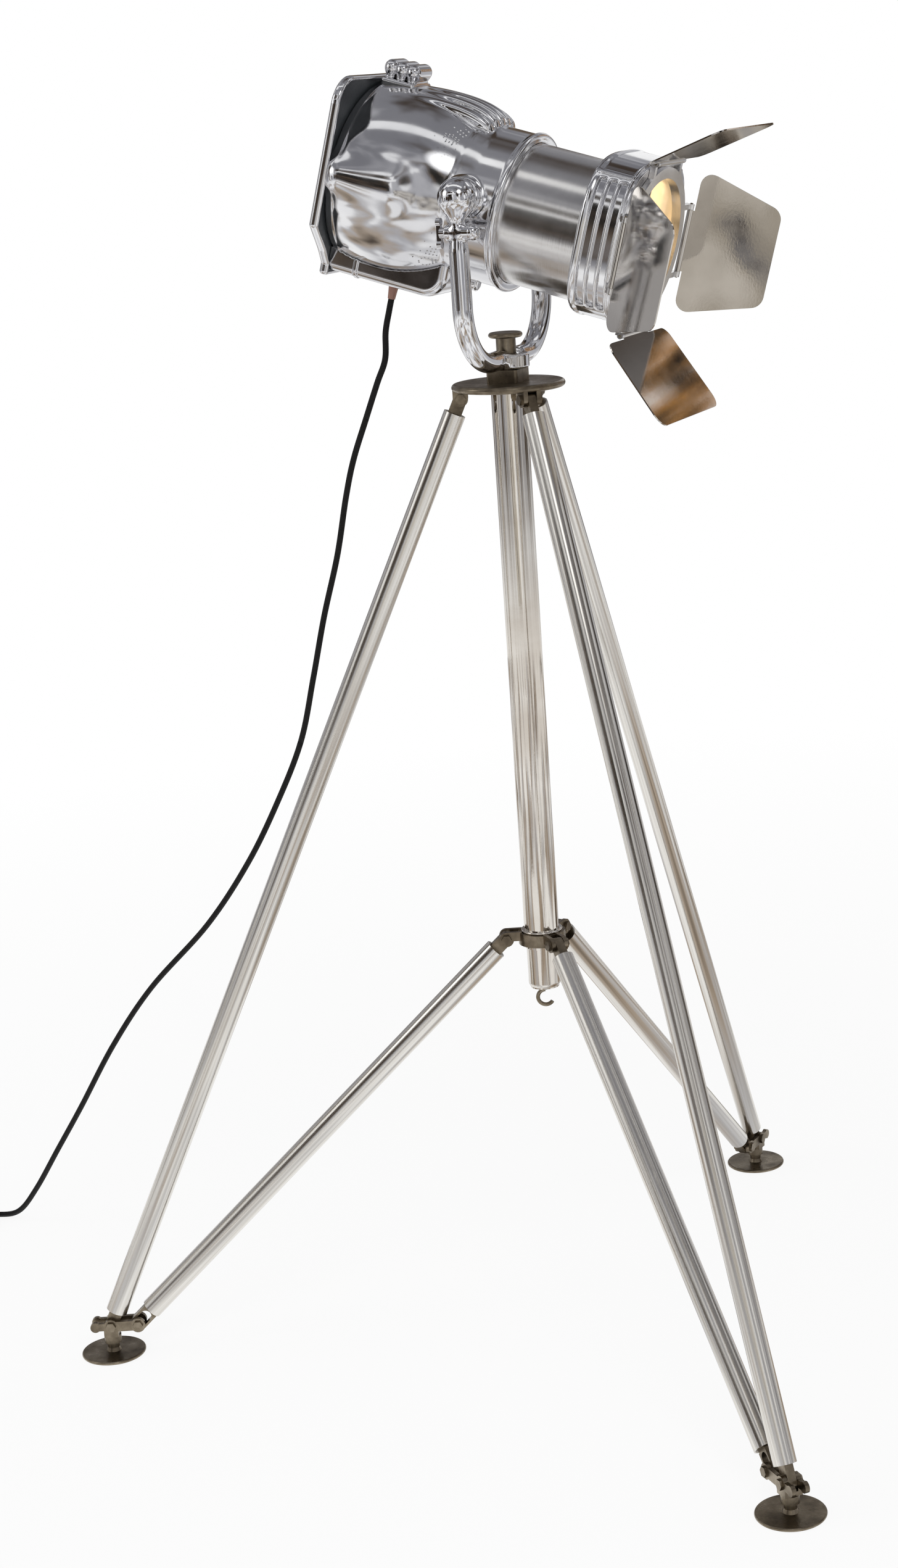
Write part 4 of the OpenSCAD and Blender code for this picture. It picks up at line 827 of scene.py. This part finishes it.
def make_cords():
    """The lead from the sleeve to the plug, as one cord in three stretches."""
    coil_entry = coil_at(COIL_START)
    coil_in = (coil_at(COIL_START + 1) - coil_entry).normalized()
    coil_exit = coil_at(COIL_END)
    coil_out = (coil_exit - coil_at(COIL_END - 1)).normalized()
    knots = [cord_start, cord_start + 2 * CORD_D * cord_drop]
    knots += [Vector(p) * MM for p in HANG_POINTS]
    knots += [coil_entry - CORD_D * coil_in, coil_entry]
    hang = curve_through(knots, CURVE_STEPS)
    coil_points = int((COIL_END - COIL_START) / COIL_STEP)
    coil = [coil_at(COIL_START + COIL_STEP * k) for k in range(1, coil_points)]
    coil += [coil_exit, coil_exit + TAIL_LEN / 2 * coil_out, coil_exit + TAIL_LEN * coil_out]
    # The cord is split where it crosses the tilt, the pan and the rise
    tilt_end = CURVE_STEPS * TILT_KNOT
    pan_end = CURVE_STEPS * PAN_KNOT
    stretches = [
        ("cord_upper", hang[: tilt_end + 1], "head", "yoke", "object"),
        ("cord_middle", hang[tilt_end: pan_end + 1], "yoke", "riser", "object"),
        ("cord_lower", hang[pan_end:] + coil, "riser", "root", "plug"),
    ]
    for name, points, upper, lower, far_end in stretches:
        cord = tube_along(name, points, CORD_D / 2, 16, cord_black)
        if name == "cord_lower":
            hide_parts("power_cord", "cord_coil")
            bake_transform(cord)
        else:
            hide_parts("power_cord")
            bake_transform(cord)


make_cords()

# ------------------------------------------------------------------ studio


SOLID = 2.0   # a gap beyond the noise's range, which leaves no openings


def backdrop_material(name, scale, stops, gap=SOLID, stretch=(1, 1, 1), fade_height=0):
    """Cloudy tones with soft gaps, through which the white studio shows. They fade out below fade_height."""
    n = Nodes(name)
    n.tree.nodes.remove(n.shader)
    tone = n.noise(n.place(scale=stretch), scale, 3, 0.5, 0.4)
    openings = n.noise(n.place(scale=stretch, location=(3, 7, 1)), scale * 0.8, 1)
    glow = n.node("ShaderNodeEmission", {"Color": n.ramp(tone, stops)}).outputs[0]
    clear = n.node("ShaderNodeBsdfTransparent").outputs[0]
    share = n.span(openings, 0, 1, gap - 0.02, gap + 0.02)
    if fade_height:
        where = n.node("ShaderNodeTexCoord").outputs["Object"]
        height = n.node("ShaderNodeSeparateXYZ", {0: where}).outputs["Z"]
        share = n.node("ShaderNodeMath", {0: share, 1: n.span(height, 1, 0, 0, fade_height)},
                       operation="MAXIMUM").outputs[0]
    mix = n.node("ShaderNodeMixShader", {0: share, 1: glow, 2: clear})
    n.tree.links.new(mix.outputs[0], n.tree.nodes["Material Output"].inputs["Surface"])
    return n.material


def glow_material(name, centre, radius, strength):
    """A light that fades out towards the edge of its card."""
    n = Nodes(name)
    n.tree.nodes.remove(n.shader)
    where = n.place(scale=(1 / radius,) * 3, location=tuple(-c / radius for c in centre))
    fade = n.node("ShaderNodeTexGradient", {"Vector": where}, gradient_type="SPHERICAL").outputs["Fac"]
    glow = n.node("ShaderNodeEmission", {"Strength": strength}).outputs[0]
    clear = n.node("ShaderNodeBsdfTransparent").outputs[0]
    mix = n.node("ShaderNodeMixShader", {0: n.span(fade, 0, 1, 0.0, 0.6), 1: clear, 2: glow})
    n.tree.links.new(mix.outputs[0], n.tree.nodes["Material Output"].inputs["Surface"])
    return n.material


def card(name, centre, width, height, material, along=None):
    """A flat card or light strip that only reflections see, facing the lamp's head."""
    centre = Vector(centre)
    ahead = (PIVOT - centre).normalized()
    side = Vector(along) if along else ahead.cross(Vector((0, 0, 1))).normalized()
    up = side.cross(ahead).normalized()
    signs = ((-1, -1), (1, -1), (1, 1), (-1, 1))
    corners = [centre + i * side * width / 2 + j * up * height / 2 for i, j in signs]
    hide_but_reflect(new_object(name, corners, [(0, 1, 2, 3)], material, smooth=False))


def backdrop(name, radius, low, high, material):
    """An upright round wall, or a flat disc where low and high are the same, that only reflections see."""
    sides = 48
    around = [(radius * cos(2 * pi * k / sides), radius * sin(2 * pi * k / sides)) for k in range(sides)]
    if low == high:
        verts, faces = [(x, y, low) for x, y in around], [tuple(range(sides))]
    else:
        verts = [(x, y, z) for z in (low, high) for x, y in around]
        faces = [(k, (k + 1) % sides, sides + (k + 1) % sides, sides + k) for k in range(sides)]
    hide_but_reflect(new_object(name, verts, faces, material, smooth=False))


def hide_but_reflect(obj):
    """Leaves an object to reflections alone."""
    obj.visible_camera = False
    obj.visible_diffuse = False
    obj.visible_shadow = False
    obj.visible_transmission = False


FLOOR_SIZE = 30


def make_floor():
    """A white floor that keeps the lamp's shadow and goes fully white further away."""
    size = FLOOR_SIZE
    n = Nodes("floor")
    n.tree.nodes.remove(n.shader)
    paths = n.node("ShaderNodeLightPath")
    seen = paths.outputs["Is Camera Ray"]
    for kind in ("Is Transmission Ray", "Is Glossy Ray"):
        seen = n.node("ShaderNodeMath", {0: seen, 1: paths.outputs[kind]}, operation="MAXIMUM").outputs[0]
    where = n.node("ShaderNodeTexCoord").outputs["Object"]
    away = n.node("ShaderNodeVectorMath", {0: where}, operation="LENGTH").outputs["Value"]
    share = n.span(away, 0.88, 1.0, 0.8, 3.0)
    white = n.node("ShaderNodeEmission", {"Color": (1, 1, 1, 1), "Strength": 1.0}).outputs[0]
    matt = n.node("ShaderNodeBsdfDiffuse", {"Color": (0.9, 0.9, 0.9, 1)}).outputs[0]
    glow = n.node("ShaderNodeMath", {0: seen, 1: share}, operation="MULTIPLY").outputs[0]
    mix = n.node("ShaderNodeMixShader", {0: glow, 1: matt, 2: white})
    n.tree.links.new(mix.outputs[0], n.tree.nodes["Material Output"].inputs["Surface"])
    verts = [(-size, -size, 0), (size, -size, 0), (size, size, 0), (-size, size, 0)]
    floor = new_object("floor", verts, [(0, 1, 2, 3)], n.material, smooth=False)


def make_world():
    """A white surrounding, dimmer for the light that it casts than where it is seen."""
    world = bpy.data.worlds.new("studio")
    bpy.context.scene.world = world
    world.use_nodes = True
    tree = world.node_tree
    background = tree.nodes["Background"]
    paths = tree.nodes.new("ShaderNodeLightPath")
    seen = tree.nodes.new("ShaderNodeMath")
    seen.operation = "MAXIMUM"
    tree.links.new(paths.outputs["Is Camera Ray"], seen.inputs[0])
    tree.links.new(paths.outputs["Is Transmission Ray"], seen.inputs[1])
    both = tree.nodes.new("ShaderNodeMath")
    both.operation = "MAXIMUM"
    tree.links.new(seen.outputs[0], both.inputs[0])
    tree.links.new(paths.outputs["Is Glossy Ray"], both.inputs[1])
    strength = tree.nodes.new("ShaderNodeMapRange")
    strength.inputs["To Min"].default_value = 0.55
    strength.inputs["To Max"].default_value = 1.0
    tree.links.new(both.outputs[0], strength.inputs["Value"])
    tree.links.new(strength.outputs["Result"], background.inputs["Strength"])
    background.inputs["Color"].default_value = (1, 1, 1, 1)


def area_light(name, place, target, size, power):
    data = bpy.data.lights.new(name, "AREA")
    data.shape = "RECTANGLE"
    data.size, data.size_y = size
    data.energy = power
    light = bpy.data.objects.new(name, data)
    light.visible_glossy = False
    bpy.context.scene.collection.objects.link(light)
    light.location = place
    light.rotation_euler = (Vector(target) - Vector(place)).to_track_quat("-Z", "Y").to_euler()


make_floor()
make_world()
area_light("key_light", (1.5, -2.6, 3.4), (0, 0, 0.9), (2.4, 1.6), 55)
area_light("fill_light", (-3.0, -1.6, 2.2), (0, 0, 0.8), (2.0, 2.0), 25)

WHITE = (1.0, 1.0, 1.0)
UMBER = (0.06, 0.045, 0.035)
TAN = (0.46, 0.42, 0.36)
IVORY = (0.74, 0.71, 0.66)
ORANGE = (0.55, 0.26, 0.06)
BLACK = (0.018, 0.016, 0.014)
BROWN = (0.13, 0.095, 0.065)
GREY = (0.24, 0.24, 0.26)
PALE = (0.52, 0.52, 0.54)
SAND = (0.46, 0.38, 0.30)
ROOM_R, ROOM_H = 4.0, 3.8
RUG_R, RUG_Z = 3.9, 0.002
backdrop("studio_wall", ROOM_R, 0.0, ROOM_H, backdrop_material(
    "studio_wall", 0.9, [(0.38, BLACK), (0.45, BROWN), (0.51, GREY), (0.60, PALE)], 0.60,
    stretch=(1, 1, 0.45), fade_height=0.5))
backdrop("studio_ceiling", ROOM_R, ROOM_H, ROOM_H, backdrop_material(
    "studio_ceiling", 0.45, [(0.34, UMBER), (0.46, GREY), (0.56, GREY), (0.70, PALE)], 0.66))
backdrop("studio_rug", RUG_R, RUG_Z, RUG_Z, backdrop_material(
    "studio_rug", 1.1, [(0.32, UMBER), (0.41, SAND), (0.50, PALE), (0.60, WHITE)], 0.55))

card("card_far_leaf", (0.57, -2.01, 0.78), 0.9, 0.6, backdrop_material(
    "card_far_leaf", 6, [(0.37, UMBER), (0.41, GREY), (0.46, TAN), (0.60, IVORY)]))
card("card_bottom_leaf", (0.72, 2.04, 1.76), 0.8, 0.6, backdrop_material(
    "card_bottom_leaf", 26, [(0.38, BLACK), (0.46, BROWN), (0.54, ORANGE), (0.64, WHITE)]))
card("card_top_leaf", (-0.36, 2.07, 0.95), 0.8, 0.6, backdrop_material(
    "card_top_leaf", 8, [(0.44, BLACK), (0.48, BROWN), (0.50, TAN), (0.66, GREY)]))
card("card_side", (-1.05, -2.3, 1.32), 1.7, 0.8, backdrop_material(
    "card_side", 3, [(0.42, BLACK), (0.52, UMBER), (0.60, BROWN), (0.68, GREY)]))
GLOW_STRENGTH = 2.2
for name, centre, radius in (("glow_key", (1.5, -2.2, 3.2), 0.8), ("glow_fill", (-2.6, -1.6, 2.6), 0.9)):
    card(name, centre, 2 * radius, 2 * radius, glow_material(name, centre, radius, GLOW_STRENGTH))
card("strip_overhead", (-0.1, -0.75, 3.4), 3.0, 0.4, backdrop_material(
    "strip_overhead", 1, [(0.3, WHITE), (0.7, WHITE)]), (1, 0, 0))
card("strip_side", (-0.7, -2.5, 2.35), 2.4, 0.22, backdrop_material(
    "strip_side", 1, [(0.3, WHITE), (0.7, WHITE)]), (1, 0, 0))

bpy.context.scene.view_settings.view_transform = "Standard"
